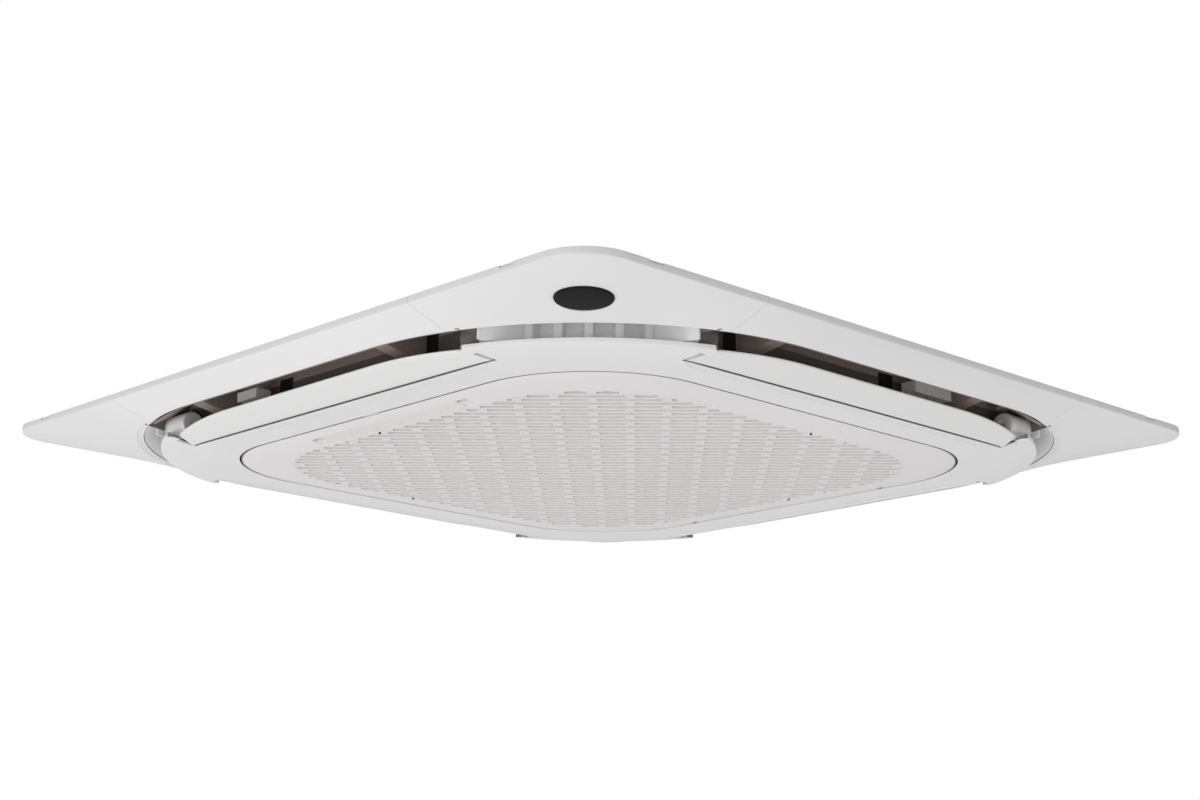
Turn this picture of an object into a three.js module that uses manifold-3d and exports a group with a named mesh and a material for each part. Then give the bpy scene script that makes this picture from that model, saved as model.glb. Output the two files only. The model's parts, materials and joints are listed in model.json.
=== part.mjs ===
// Four-way ceiling cassette air conditioner: the panel below the ceiling with its grille and vanes, and the
// unit above the ceiling.
// Millimetres, +Z up. The origin is the middle of the panel on the ceiling's lower face, so the panel hangs
// below z = 0 and the body stands above it. The corner with the receiver is at +X, -Y.

import * as THREE from 'three';
import Module from 'manifold-3d';
import { mergeVertices } from 'three/addons/utils/BufferGeometryUtils.js';

const wasm = await Module();
wasm.setup();

// ---------------------------------------------------------------- driving dimensions

// Panel in plan, from the grille outwards. Rounded squares are given by half width and corner radius.
const grilleHalf = 322.8;
const grilleCorner = 136.5;
const grilleSeam = 1.4;
const stripWidth = 45.6;
const vaneSeam = 1.2;
const vaneWidth = 44;
const lipReach = 10;
const airGap = 20;
const flangeWidth = 30;
const lipCorner = 275;
const openingCorner = 292;
const panelCorner = 50;
const ductWallSetback = 7.8;
const ductWidth = 42;
const ductWallCorner = 133;
const funnelCorner = 276;

// Panel levels, measured down from the ceiling
const rimDepth = 7;
const openingDepth = 25;
const lipDepth = 36;
const lipBand = 4.5;
const faceDepth = 40;
const grilleBulge = 4;
const ductRise = 8;

// Panel walls and clearances
const seatGap = 0.3;
const coverSkin = 2.2;
const rimWall = 3.5;
const flangeBack = 2.6;
const openingLand = 2;
const funnelWall = 2.5;
const ductWall = 2.5;
const topPlateThickness = 2.5;
const bezelThickness = 3;
const bezelChamfer = 1.4;
const seamPosition = 247;
const notchWidth = 17;
const notchDepth = 2.5;
const notchFromCorner = 95.5;
const otherNotchFromCorner = 86;

// Corner ribs
const ribCount = 5;
const ribPitchDegrees = 11.3;
const ribWidth = 9;
const ribDepth = 12;

// Vanes
const vaneLength = 494;
const vaneThickness = 3.2;
const vaneRise = 10;
const vaneStraight = 240;
const vaneBow = 410;
const earLean = 22;
const earRadius = 6.2;
const earSpread = 498;
const pivotInset = 10;
const pivotRise = 13.5;
const pivotClearance = 0.4;
const pinRadius = 2.5;
const pinClearance = 0.3;
const lugRadius = 5;
const lugThickness = 6;
const lugPosition = 222;
const housingRadius = 13.5;
const housingOffset = 8;
const housingTilt = 60;
const housingStart = 230;
const pinReach = 8;
const endWallAtFace = 262;
const endWallLean = 0.32;
const endWallThickness = 2.5;

// Receiver
const receiverRadius = 26.5;
const receiverThickness = 2.2;
const receiverDiagonal = 560.2;
const receiverBoardSize = 31;
const boardThickness = 1.6;

// Grille, filter, latches and hinge
const slotZoneHalf = 282;
const slotZoneCorner = 134;
const rowPitch = 14;
const slotHeight = 9;
const bridgePitch = 444;
const bridgeWidth = 9.7;
const grilleThickness = 2.5;
const grilleRim = 12;
const grilleEdge = 2;
const filterLap = 13;
const filterCorner = 136;
const filterFrame = 12;
const filterHeight = 5;
const latchSpacing = 236;
const latchWidth = 30;
const latchPad = 16;
const latchTongue = 12;
const latchLength = 13;
const latchThickness = 2.4;
const tongueThickness = 1.8;
const latchInset = 31.5;
const latchTravel = 6;
const hingeSpacing = 300;
const hingeInset = 19.8;
const hingeRise = 1.6;
const hingePinRadius = 1.2;
const hingeEyeRadius = 2.1;
const hingeArmWidth = 5;
const hingePinLength = 21;
const earThickness = 4;

// Fasteners between panel and body
const panelScrewDiagonal = 530;
const panelScrewRadius = 2.5;
const panelScrewHead = 4.8;
const panelScrewHeadHeight = 3;
const panelScrewLength = 34;
const screwPostRadius = 8;

// Body above the ceiling
const sealThickness = 4;
const sealWidth = 6;
const linerSkin = 2.5;
const linerDrop = 1.5;
const strutPosition = 150;
const strutWidth = 12;
const strutHeight = 13;
const bodyHeight = 246;
const outletWall = 16;
const bodyCut = 130;
const sheet = 1.2;
const linerThickness = 14.5;
const linerRoof = 13.5;
const panHeight = 50;
const panBoreRadius = 236;
const troughDepth = 18;
const coilHalf = 335;
const coilCorner = 100;
const coilDepth = 38;
const coilOpening = 80;
const coilPlateThickness = 1.5;
const bendCount = 3;
const bendTubeRadius = 4;
const bendRadius = 10;

// Fan
const fanRadius = 225;
const fanBladeCount = 7;
const fanBladeThickness = 4;
const fanBladeInner = 135;
const hubLevel = 190;
const hubCupRadius = 80;
const hubCupFloor = 118;
const hubWall = 3;
const shroudRadius = 158;
const shroudLevel = 66;
const throatRadius = 150;
const throatLevel = 72;
const bellRadius = 300;
const bellWall = 2.5;
const motorRadius = 72;
const motorBottom = 138;
const motorTop = 234;
const motorFlangeRadius = 88;
const motorFlange = 6;
const studCount = 3;
const studCircle = 80;
const damperWidth = 12;
const studRadius = 3;
const bossRadius = 16;
const bossDepth = 8;
const bossHeight = 14;
const fanNutRadius = 9;
const fanWasherRadius = 12;
const shaftRadius = 5;
const shaftBottom = 98;
const shaftTop = 224;

// Hanging and fastening
// Bolts lie on one hand of the diagonals or the other, corner by corner, for a pitch longer along X.
const boltPitchX = 780;
const boltPitchY = 680;
const boltHands = [1, -1, 1, -1];
const boltSlot = 12;
const bracketThickness = 2;
const bracketEarLevel = 120;
const bracketReach = 32;
const bracketHeight = 138;
const bracketWidth = 84;
const tabWidth = 24;
const rivetRadius = 4.5;
const rivetLevel = 72;
const rivetPlaces = [-10, 54];
const bracketOverlap = 20;
const bracketEarWidth = 44;

// Pipes and drain
const gasPipeRadius = 7.95;
const liquidPipeRadius = 4.75;
const pipeWall = 1;
const pipeLevel = 198;
const pipeSpread = 22;
const pipeReach = 60;
const pipePlateWidth = 90;
const pipePlateHeight = 70;
const drainRadius = 12.5;
const drainLevel = 190;
const drainReach = 45;
const pumpDiagonal = 459;
const pumpRadius = 20;
const pumpHeight = 70;
const floatOffset = 40;
const floatRadius = 9;
const floatHeight = 12;
const stemRadius = 3;
const pumpPlateThickness = 3;
const sumpDepth = 30;
const floatRise = 5.8;
const pumpSkirtRadius = 16;
const pumpBoreRadius = 13;
const pumpSpoutRadius = 5;
const pumpShaftRadius = 2;
const paddleHalf = 11;
const paddleHeight = 14;
const gasNutWall = 7;
const gasNutLength = 22;
const liquidNutWall = 5;
const liquidNutLength = 16;
const nutInset = 4;
const headerInset = 95;
const headerDrop = 110;
const headerTop = 12;

// Control box
const boxLength = 300;
const boxWidth = 110;
const boxHeight = 32;
const boxOuterEdge = 334;
const boxWall = 1.2;
const boxPostInset = 14;
const boxPostHeight = 9;
const boardEnd = 58;
const boardMargin = 8;
// Parts under the board: start and end across it, start and end along it, height
const boardBlocks = [
  [8, 30, -120, -92, 12], [40, 62, -125, -95, 9], [10, 55, -30, -22, 7],
  [10, 55, 0, 8, 7], [64, 80, -40, -20, 8], [20, 38, 26, 44, 3],
];
// Capacitors under the board: place across and along it, radius, height
const boardCans = [[20, -60, 8, 13], [42, -60, 8, 13]];
const terminalStart = 78;
const terminalWidth = 24;
const terminalHeight = 16;
const terminalInset = 20;
const terminalCount = 5;
const terminalPitch = 13;
const terminalSlot = 8;
const glandAlong = 120;
const glandRadius = 11;
const glandLevel = 100;

// Facet counts
const cornerSteps = 5;
const roundSteps = 24;
const smallSteps = 12;
const tinySteps = 6;
const studSteps = 8;
const fanSteps = 18;
const bellSteps = 24;

// ---------------------------------------------------------------- worked-out places

const stripTip = grilleHalf + grilleSeam + stripWidth;
const vaneInner = stripTip + vaneSeam;
const vaneOuter = vaneInner + vaneWidth;
const lipHalf = vaneOuter + lipReach;
const openingHalf = lipHalf + airGap;
const panelHalf = openingHalf + flangeWidth;
const ductInner = stripTip - ductWallSetback;
const ductOuter = ductInner + ductWidth;
const pivotDistance = vaneInner + pivotInset;
const pivotLevel = -faceDepth + pivotRise;
const bodyBottom = ductRise + sealThickness;
const bodyTop = bodyBottom + bodyHeight;
const bodyHalf = ductOuter + outletWall;
const bodyCornerReach = (2 * bodyHalf - bodyCut) / Math.SQRT2;
const panTop = bodyBottom + panHeight;
const roofLevel = bodyTop - sheet - seatGap - linerRoof;
const hingeDistance = grilleHalf - hingeInset;
const hingeLevel = -faceDepth + hingeRise;
const filterHalf = slotZoneHalf + filterLap;
const plateTopLevel = -faceDepth + grilleThickness;
const railTop = plateTopLevel;
const openingEdge = openingHalf - openingLand;
const openingEdgeCorner = openingCorner - openingLand;
const coilBottom = panTop - troughDepth + seatGap;
const coilTop = roofLevel - seatGap;
const floatLow = panTop - sumpDepth + floatRise;
const boxInnerEdge = boxOuterEdge - boxWidth;
const boxTop = bodyBottom - seatGap;
const boxBottom = boxTop - boxHeight;
const tongueLow = railTop + seatGap + latchThickness - tongueThickness;
const padLow = -faceDepth - grilleBulge + 1.4;
const slopePerDiagonal = (openingDepth - rimDepth)
  / (diagonalOf(panelHalf, panelCorner) - diagonalOf(openingHalf, openingCorner));

// ---------------------------------------------------------------- shape helpers

// How far a rounded square reaches along its diagonal
function diagonalOf(half, radius) {
  return half * Math.SQRT2 - radius * (Math.SQRT2 - 1);
}

// Panel's lower face level at a distance out along the diagonal
function flangeLevel(diagonal) {
  return -rimDepth - (diagonalOf(panelHalf, panelCorner) - diagonal) * slopePerDiagonal;
}

// Closed geometry to a manifold: shared vertices merged, empty triangles dropped, faces turned out
function solid(geometry) {
  const bare = geometry.clone();
  bare.deleteAttribute('normal');
  bare.deleteAttribute('uv');
  const merged = mergeVertices(bare, 1e-4);
  const place = merged.getAttribute('position');
  const triangles = [];
  let volume = 0;
  const corners = [new THREE.Vector3(), new THREE.Vector3(), new THREE.Vector3()];
  for (let i = 0; i < merged.index.count; i += 3) {
    const ids = [0, 1, 2].map((n) => merged.index.getX(i + n));
    if (ids[0] === ids[1] || ids[1] === ids[2] || ids[2] === ids[0]) continue;
    ids.forEach((id, n) => corners[n].fromBufferAttribute(place, id));
    volume += corners[0].dot(corners[1].clone().cross(corners[2]));
    triangles.push(ids);
  }
  const facing = volume < 0 ? triangles.map(([a, b, c]) => [a, c, b]) : triangles;
  return new wasm.Manifold(new wasm.Mesh({
    numProp: 3,
    vertProperties: Float32Array.from(place.array),
    triVerts: Uint32Array.from(facing.flat()),
  }));
}

// Manifold back to a flat-shaded geometry
function geometryOf(body) {
  const mesh = body.getMesh();
  const geometry = new THREE.BufferGeometry();
  geometry.setAttribute('position', new THREE.BufferAttribute(Float32Array.from(mesh.vertProperties), 3));
  geometry.setIndex(new THREE.BufferAttribute(Uint32Array.from(mesh.triVerts), 1));
  geometry.computeVertexNormals();
  return geometry;
}

function union(bodies) {
  return bodies.reduce((sum, body) => sum.add(body));
}

// Geometry from loops of equally many points, joined one to the next
function loftGeometry(loops, closed) {
  const size = loops[0].length;
  const points = loops.flat();
  const faces = [];
  const last = closed ? loops.length : loops.length - 1;
  for (let i = 0; i < last; i++) {
    const here = i * size;
    const next = ((i + 1) % loops.length) * size;
    for (let j = 0; j < size; j++) {
      const k = (j + 1) % size;
      faces.push(here + j, here + k, next + k, here + j, next + k, next + j);
    }
  }
  if (!closed) {
    for (const [loop, start] of [[loops[0], 0], [loops.at(-1), (loops.length - 1) * size]]) {
      const centre = points.length;
      points.push([0, 1, 2].map((n) => loop.reduce((sum, point) => sum + point[n], 0) / size));
      for (let j = 0; j < size; j++) {
        const k = (j + 1) % size;
        faces.push(...(start === 0 ? [centre, start + k, start + j] : [centre, start + j, start + k]));
      }
    }
  }
  const geometry = new THREE.BufferGeometry();
  geometry.setAttribute('position', new THREE.Float32BufferAttribute(points.flat(), 3));
  geometry.setIndex(faces);
  return geometry;
}

function squareLoop([half, radius, level]) {
  const loop = [];
  for (let quarter = 0; quarter < 4; quarter++) {
    const towards = (quarter + 0.5) * Math.PI / 2;
    const centre = (half - radius) * Math.SQRT2;
    for (let step = 0; step <= cornerSteps; step++) {
      const angle = (quarter + step / cornerSteps) * Math.PI / 2;
      loop.push([
        centre * Math.cos(towards) + radius * Math.cos(angle),
        centre * Math.sin(towards) + radius * Math.sin(angle),
        level,
      ]);
    }
  }
  return loop;
}

// Ring whose cross-section runs round a rounded square
function squareRing(section) {
  return solid(loftGeometry(section.map(squareLoop), true));
}

// Solid stack of rounded squares
function squareStack(levels) {
  return solid(loftGeometry(levels.map(squareLoop), false));
}

function prism(points, low, high) {
  const shape = points instanceof THREE.Shape ? points
    : new THREE.Shape(points.map(([x, y]) => new THREE.Vector2(x, y)));
  const geometry = new THREE.ExtrudeGeometry(shape, {
    depth: high - low, bevelEnabled: false, curveSegments: smallSteps,
  });
  return solid(geometry.translate(0, 0, low));
}

function box(x0, x1, y0, y1, z0, z1) {
  const geometry = new THREE.BoxGeometry(x1 - x0, y1 - y0, z1 - z0);
  return solid(geometry.translate((x0 + x1) / 2, (y0 + y1) / 2, (z0 + z1) / 2));
}

function upright(radius, low, high, x = 0, y = 0, steps = smallSteps) {
  const geometry = new THREE.CylinderGeometry(radius, radius, high - low, steps);
  return solid(geometry.rotateX(Math.PI / 2).translate(x, y, (low + high) / 2));
}

function lathe(profile, steps = roundSteps) {
  const points = profile.map(([radius, level]) => new THREE.Vector2(radius, level));
  return solid(new THREE.LatheGeometry(points, steps).rotateX(Math.PI / 2));
}

// In a side's own frame x runs along the side, -y points outwards; a distance is measured from the middle.
function barAlong(radius, start, end, distance, level, steps = smallSteps) {
  const geometry = new THREE.CylinderGeometry(radius, radius, end - start, steps);
  return solid(geometry.rotateZ(Math.PI / 2).translate((start + end) / 2, -distance, level));
}

function sidePrism(profile, start, end) {
  const shape = new THREE.Shape(profile.map(([distance, level]) => new THREE.Vector2(distance, level)));
  const geometry = new THREE.ExtrudeGeometry(shape, { depth: end - start, bevelEnabled: false });
  const toSide = new THREE.Matrix4().makeBasis(
    new THREE.Vector3(0, -1, 0), new THREE.Vector3(0, 0, 1), new THREE.Vector3(1, 0, 0),
  );
  return solid(geometry.applyMatrix4(toSide).translate(start, 0, 0));
}

// In a corner's own frame +x points out along the diagonal; this turns it to the corner at +X, -Y.
function atCorner(body, corner) {
  return body.rotate([0, 0, -45 + 90 * corner]);
}

function onSide(body, side) {
  return body.rotate([0, 0, 90 * side]);
}

function eachQuarter(make) {
  return union([0, 1, 2, 3].map(make));
}

function octagon(half, cut = bodyCut) {
  const straight = half - cut;
  return [
    [half, -straight], [half, straight], [straight, half], [-straight, half],
    [-half, straight], [-half, -straight], [-straight, -half], [straight, -half],
  ];
}

// Chamfered square inset by an even margin from the body's outline
function bodyOutline(inset) {
  return octagon(bodyHalf - inset, bodyCut - inset * (2 - Math.SQRT2));
}

// ---------------------------------------------------------------- materials

function finish(colour, roughness, metalness = 0) {
  return new THREE.MeshStandardMaterial({ color: colour, roughness, metalness });
}

const panelWhite = finish(0xdcdcdc, 0.45);
const vaneWhite = finish(0xe0e0df, 0.4);
const grilleWhite = finish(0xd2cecd, 0.5);
const gloss = finish(0x2a2a2b, 0.12);
const foamBrown = finish(0x8d7d75, 0.9);
const polystyrene = finish(0xeeeeea, 0.9);
const galvanised = finish(0xb4b8ba, 0.4, 0.85);
const steel = finish(0xa9abad, 0.35, 0.9);
const copper = finish(0xb8713f, 0.35, 0.95);
const brass = finish(0xb59a55, 0.35, 0.9);
const aluminium = finish(0xc3c7ca, 0.4, 0.85);
const fanPlastic = finish(0x3a4046, 0.5);
const boxPlastic = finish(0x9aa0a3, 0.6);
const boardGreen = finish(0x2f6b45, 0.6);
const rubberBlack = finish(0x1d1d1d, 0.85);
const filterGrey = finish(0x4a4d50, 0.7);

// ---------------------------------------------------------------- panel pieces

function flangeRing() {
  return squareRing([
    [panelHalf, panelCorner, 0],
    [panelHalf, panelCorner, -rimDepth],
    [openingHalf, openingCorner, -openingDepth],
    [openingEdge, openingEdgeCorner, -openingDepth],
    [ductOuter, funnelCorner, ductRise],
    [ductOuter + funnelWall, funnelCorner + funnelWall, ductRise],
    [openingHalf + openingLand, openingCorner + openingLand, -openingDepth + funnelWall + rimWall],
    [panelHalf - rimWall, panelCorner - rimWall, -flangeBack],
    [panelHalf - rimWall, panelCorner - rimWall, 0],
  ]);
}

// The skin that a corner cover takes out of the flange, with extra room all round for its pocket
function coverRing(extra) {
  const inner = rimWall - coverSkin / 2;
  return squareRing([
    [panelHalf + extra, panelCorner + extra, extra],
    [panelHalf + extra, panelCorner + extra, -rimDepth],
    [openingHalf, openingCorner, -openingDepth - extra],
    [openingEdge - extra, openingEdgeCorner - extra, -openingDepth - extra],
    [openingEdge - extra, openingEdgeCorner - extra, -openingDepth + coverSkin + extra],
    [panelHalf - inner - extra, panelCorner - inner - extra, -rimDepth + coverSkin + extra],
    [panelHalf - inner - extra, panelCorner - inner - extra, extra],
  ]);
}

function cornerZone(corner, clearance) {
  const start = seamPosition + clearance;
  const end = panelHalf + rimDepth;
  return onSide(box(start, end, -end, -start, -faceDepth, rimDepth), corner);
}

// Inside of the outlets' funnel, used to trim what is built between its walls
function funnelSpace(inset) {
  return squareStack([
    [openingEdge - inset, openingEdgeCorner - inset, -faceDepth],
    [openingEdge - inset, openingEdgeCorner - inset, -openingDepth],
    [ductOuter - inset, funnelCorner - inset, ductRise],
  ]);
}

// The slanted wall that closes each end of an outlet; hand is 1 or -1 along the side
function endWall(hand, thickness, offset) {
  const at = (distance) => endWallAtFace - (distance - ductInner) * endWallLean + offset;
  const near = ductInner - ductWall / 2;
  const far = openingHalf;
  const mid = vaneOuter - lipReach / 2;
  const strip = (from, to) => [
    [hand * at(from), -from], [hand * at(to), -to],
    [hand * (at(to) + thickness), -to], [hand * (at(from) + thickness), -from],
  ];
  return prism(strip(near, mid), -faceDepth + 10, ductRise)
    .add(prism(strip(mid, far), -openingDepth + 1, ductRise));
}

function pivotHousing(start, end) {
  const tilt = THREE.MathUtils.degToRad(housingTilt);
  return barAlong(housingRadius, start, end,
    pivotDistance + housingOffset * Math.cos(tilt), pivotLevel + housingOffset * Math.sin(tilt));
}

function makePanelFrame() {
  const outlet = endWallAtFace;
  const plate = squareRing([
    [ductOuter + 1, funnelCorner + 1, ductRise - topPlateThickness],
    [ductOuter + 1, funnelCorner + 1, ductRise],
    [ductInner - 22, ductWallCorner - 22, ductRise],
    [ductInner - 22, ductWallCorner - 22, ductRise - topPlateThickness],
  ]);
  const outlets = eachQuarter((side) => onSide(
    box(-outlet, outlet, -ductOuter - funnelWall, -ductInner + ductWall / 2, 0, ductRise + 1), side));
  const wall = squareRing([
    [ductInner, ductWallCorner, -faceDepth + bezelThickness + seatGap],
    [ductInner, ductWallCorner, ductRise],
    [ductInner - ductWall, ductWallCorner - ductWall, ductRise],
    [ductInner - ductWall, ductWallCorner - ductWall, -faceDepth + bezelThickness + seatGap],
  ]);
  const between = funnelSpace(-funnelWall / 2);
  const walls = eachQuarter((side) => onSide(
    endWall(1, endWallThickness, 0).add(endWall(-1, endWallThickness, 0)), side)).intersect(between);
  const housings = eachQuarter((side) => onSide(
    pivotHousing(-endWallAtFace + 3, -housingStart), side));
  const ribs = eachQuarter((corner) => atCorner(cornerRibs(), corner)).intersect(between);
  const posts = eachQuarter((corner) => atCorner(
    upright(screwPostRadius, flangeLevel(panelScrewDiagonal) + coverSkin + 2, bodyBottom - seatGap,
      panelScrewDiagonal), corner));
  const pinHoles = eachQuarter((side) => onSide(
    barAlong(pinRadius + pinClearance, -lugPosition - lugThickness - pinReach - 2, -housingStart + 1,
      pivotDistance, pivotLevel), side));
  const pockets = coverRing(seatGap).intersect(eachQuarter((corner) => cornerZone(corner, -seatGap / 2)));
  const bores = eachQuarter((corner) => atCorner(screwBore(), corner));
  const window = atCorner(receiverSpace(receiverRadius - 3, 12), 0);
  return flangeRing().add(plate.subtract(outlets)).add(wall).add(walls).add(housings).add(ribs).add(posts)
    .add(hingeArms()).subtract(pockets).subtract(pinHoles).subtract(bores).subtract(window);
}

function cornerRibs() {
  const centre = (ductInner - ductWallCorner) * Math.SQRT2;
  const bodies = [];
  for (let i = 0; i < ribCount; i++) {
    const angle = (i - (ribCount - 1) / 2) * ribPitchDegrees;
    const rib = box(ductWallCorner - ductWall / 2, ductWallCorner + ribDepth, -ribWidth / 2, ribWidth / 2,
      -lipDepth + lipBand - 1, ductRise - 1);
    bodies.push(rib.rotate([0, 0, angle]).translate([centre, 0, 0]));
  }
  return union(bodies);
}

function screwBore() {
  const headRoom = flangeLevel(panelScrewDiagonal) + coverSkin + seatGap + panelScrewHeadHeight + 4;
  return upright(panelScrewRadius + seatGap, headRoom - 1, bodyBottom, panelScrewDiagonal)
    .add(upright(panelScrewHead + 1, -openingDepth, headRoom, panelScrewDiagonal));
}

// Round space square to the flange's slope at the receiver
function receiverSpace(radius, height) {
  const tilt = -Math.atan(slopePerDiagonal);
  return upright(radius, -1, height, 0, 0, roundSteps)
    .rotate([0, THREE.MathUtils.radToDeg(tilt), 0])
    .translate([receiverDiagonal, 0, flangeLevel(receiverDiagonal)]);
}

// Two swan-neck arms on the +Y side that carry the grille's hinge pins, clear of the edge as it swings up
function hingeArms() {
  const eye = hingeEyeRadius;
  const outer = hingeDistance + 1.5;
  const inner = outer - hingeArmWidth - 1.5;
  const turn = hingeLevel + hingeInset + 3;
  const root = ductInner - ductWall / 2;
  const profile = [
    [root, turn], [outer, turn], [outer, hingeLevel + eye * 0.8], [hingeDistance + eye, hingeLevel],
    [hingeDistance + eye * 0.7, hingeLevel - eye * 0.7], [hingeDistance, hingeLevel - eye],
    [hingeDistance - eye * 0.7, hingeLevel - eye * 0.7], [hingeDistance - eye, hingeLevel],
    [inner, hingeLevel + 4], [inner, turn + hingeArmWidth], [root, turn + hingeArmWidth],
  ];
  const hole = barAlong(hingePinRadius + seatGap, -hingeSpacing, hingeSpacing,
    hingeDistance, hingeLevel, tinySteps);
  const arms = [-1, 1].map((hand) => {
    const middle = hand * hingeSpacing / 2;
    return sidePrism(profile, middle - earThickness / 2, middle + earThickness / 2);
  });
  return onSide(union(arms).subtract(hole), 2);
}

function makeCornerCover(corner) {
  const middle = panelHalf - notchFromCorner;
  const other = panelHalf - otherNotchFromCorner;
  const half = notchWidth / 2;
  const cuts = [
    box(middle - half, middle + half, -panelHalf - 1, -panelHalf + rimWall, -notchDepth, 1),
    box(panelHalf - rimWall, panelHalf + 1, -other - half, -other + half, -notchDepth, 1),
  ];
  let cover = coverRing(0).intersect(cornerZone(0, seatGap / 2)).subtract(union(cuts));
  if (corner === 0) cover = cover.subtract(atCorner(receiverSpace(receiverRadius + seatGap, 12), 0));
  return cover;
}

function makeReceiverWindow() {
  const disc = upright(receiverRadius, 0, receiverThickness, 0, 0, roundSteps);
  const stand = receiverBoardSize / 2 - 3;
  const high = receiverThickness + 3;
  const posts = [-stand, stand].map((y) => upright(1.5, receiverThickness - 0.5, high, 0, y, tinySteps));
  return disc.add(union(posts));
}

function makeReceiverBoard() {
  const half = receiverBoardSize / 2;
  const low = receiverThickness + 3 + seatGap;
  const sensor = box(-4, 4, -3, 3, low - 3, low + 0.5);
  const lamps = [-9, 9].map((y) => upright(1.5, low - 2.5, low + 0.5, 6, y, tinySteps));
  return box(-half, half, -half, half, low, low + boardThickness).add(sensor).add(union(lamps));
}

// Plan outline of what the vane, or with a margin its cut-out in the bezel, covers on one side
function earNose() {
  const reach = lipCorner - earRadius;
  const along = earSpread / 2 - earRadius + 0.7;
  const sideways = along - (lipHalf - lipCorner);
  return [along, lipHalf - lipCorner + Math.sqrt(reach * reach - sideways * sideways)];
}

function vaneBay() {
  const [along, out] = earNose();
  const lean = THREE.MathUtils.degToRad(earLean);
  const half = [[earSpread / 2, stripTip]];
  for (let step = 0; step <= 4; step++) {
    const angle = Math.PI + lean - step * (lean + THREE.MathUtils.degToRad(95)) / 4;
    half.push([along + earRadius * Math.cos(angle), out + earRadius * Math.sin(angle)]);
  }
  half.push([along, lipHalf + 20]);
  const left = half.map(([x, y]) => [-x, -y]).reverse();
  return prism([...half.map(([x, y]) => [x, -y]), ...left], -faceDepth - 1, 0);
}

function makeCentreBezel() {
  const chamfer = bezelThickness;
  const body = squareRing([
    [lipHalf, lipCorner, -lipDepth + lipBand],
    [lipHalf, lipCorner, -lipDepth],
    [stripTip, ductWallCorner + 50, -faceDepth],
    [grilleHalf + grilleSeam, grilleCorner + grilleSeam, -faceDepth],
    [grilleHalf + grilleSeam + bezelChamfer, grilleCorner + grilleSeam + bezelChamfer, -faceDepth + chamfer],
    [ductInner + 22, ductWallCorner + 57, -faceDepth + chamfer],
    [lipHalf - bezelThickness, lipCorner - bezelThickness, -lipDepth + bezelThickness - 0.2],
    [lipHalf - bezelThickness, lipCorner - bezelThickness, -lipDepth + lipBand],
  ]);
  const bays = eachQuarter((side) => onSide(vaneBay(), side));
  const sweep = Math.hypot(pivotInset, pivotRise) + pivotClearance;
  const hollow = eachQuarter((side) => onSide(
    barAlong(sweep, -earSpread / 2, earSpread / 2, pivotDistance, pivotLevel, 96), side));
  return body.subtract(bays).subtract(hollow);
}

// Vane in a side's frame with its pivot on the origin
function makeVane() {
  const half = vaneLength / 2;
  const lean = Math.tan(THREE.MathUtils.degToRad(earLean));
  const outline = new THREE.Shape();
  const bowCentre = vaneOuter - vaneBow;
  const tipAt = findVaneTip(half, lean, bowCentre);
  const bowAngle = Math.asin((tipAt[0] - vaneStraight / 2) / vaneBow);
  outline.moveTo(-half, -vaneInner);
  outline.lineTo(-tipAt[0], -tipAt[1]);
  for (let step = 1; step <= 5; step++) {
    const angle = bowAngle * (1 - step / 5);
    outline.lineTo(-vaneStraight / 2 - vaneBow * Math.sin(angle), -bowCentre - vaneBow * Math.cos(angle));
  }
  for (let step = 0; step <= 5; step++) {
    const angle = bowAngle * step / 5;
    outline.lineTo(vaneStraight / 2 + vaneBow * Math.sin(angle), -bowCentre - vaneBow * Math.cos(angle));
  }
  outline.lineTo(half, -vaneInner);
  const slope = vaneRise / vaneWidth;
  const under = (distance) => -faceDepth + (distance - vaneInner) * slope;
  const blade = sidePrism([
    [vaneInner, under(vaneInner) + 1], [vaneInner + 1, under(vaneInner)],
    [vaneInner + vaneWidth / 2, under(vaneInner + vaneWidth / 2) - 0.6],
    [vaneOuter - 1, under(vaneOuter - 1)], [vaneOuter, under(vaneOuter) + 1],
    [vaneOuter - 1, under(vaneOuter) + vaneThickness - 1],
    [vaneInner + vaneWidth / 2, under(vaneInner + vaneWidth / 2) + vaneThickness - 0.6],
    [vaneInner + 1, under(vaneInner) + vaneThickness], [vaneInner, under(vaneInner) + vaneThickness - 1],
  ], -half, half).intersect(prism(outline, -faceDepth - 5, 0));
  const foot = (distance) => under(distance) + vaneThickness - 1.2;
  const lugs = [-lugPosition - lugThickness, lugPosition].map((start) => sidePrism([
    [pivotDistance - lugRadius - 1, foot(pivotDistance - lugRadius - 1)],
    [pivotDistance + lugRadius + 4, foot(pivotDistance + lugRadius + 4)],
    [pivotDistance + lugRadius, pivotLevel], [pivotDistance + lugRadius * 0.7, pivotLevel + lugRadius * 0.7],
    [pivotDistance, pivotLevel + lugRadius],
    [pivotDistance - lugRadius * 0.7, pivotLevel + lugRadius * 0.7], [pivotDistance - lugRadius, pivotLevel],
  ], start, start + lugThickness));
  const pinStart = lugPosition + lugThickness - 1;
  const pins = [pinStart, -pinStart - pinReach].map((start) => barAlong(
    pinRadius, start, start + pinReach, pivotDistance, pivotLevel));
  return blade.add(union(lugs)).add(union(pins)).translate([0, pivotDistance, -pivotLevel]);
}

// Where the vane's slanted end meets its bowed outer edge
function findVaneTip(half, lean, bowCentre) {
  let along = half;
  let distance = vaneInner;
  for (let i = 0; i < 40; i++) {
    along = half - (distance - vaneInner) * lean;
    const off = Math.max(along - vaneStraight / 2, 0);
    distance = bowCentre + Math.sqrt(vaneBow * vaneBow - off * off);
  }
  return [along, distance];
}

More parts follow.
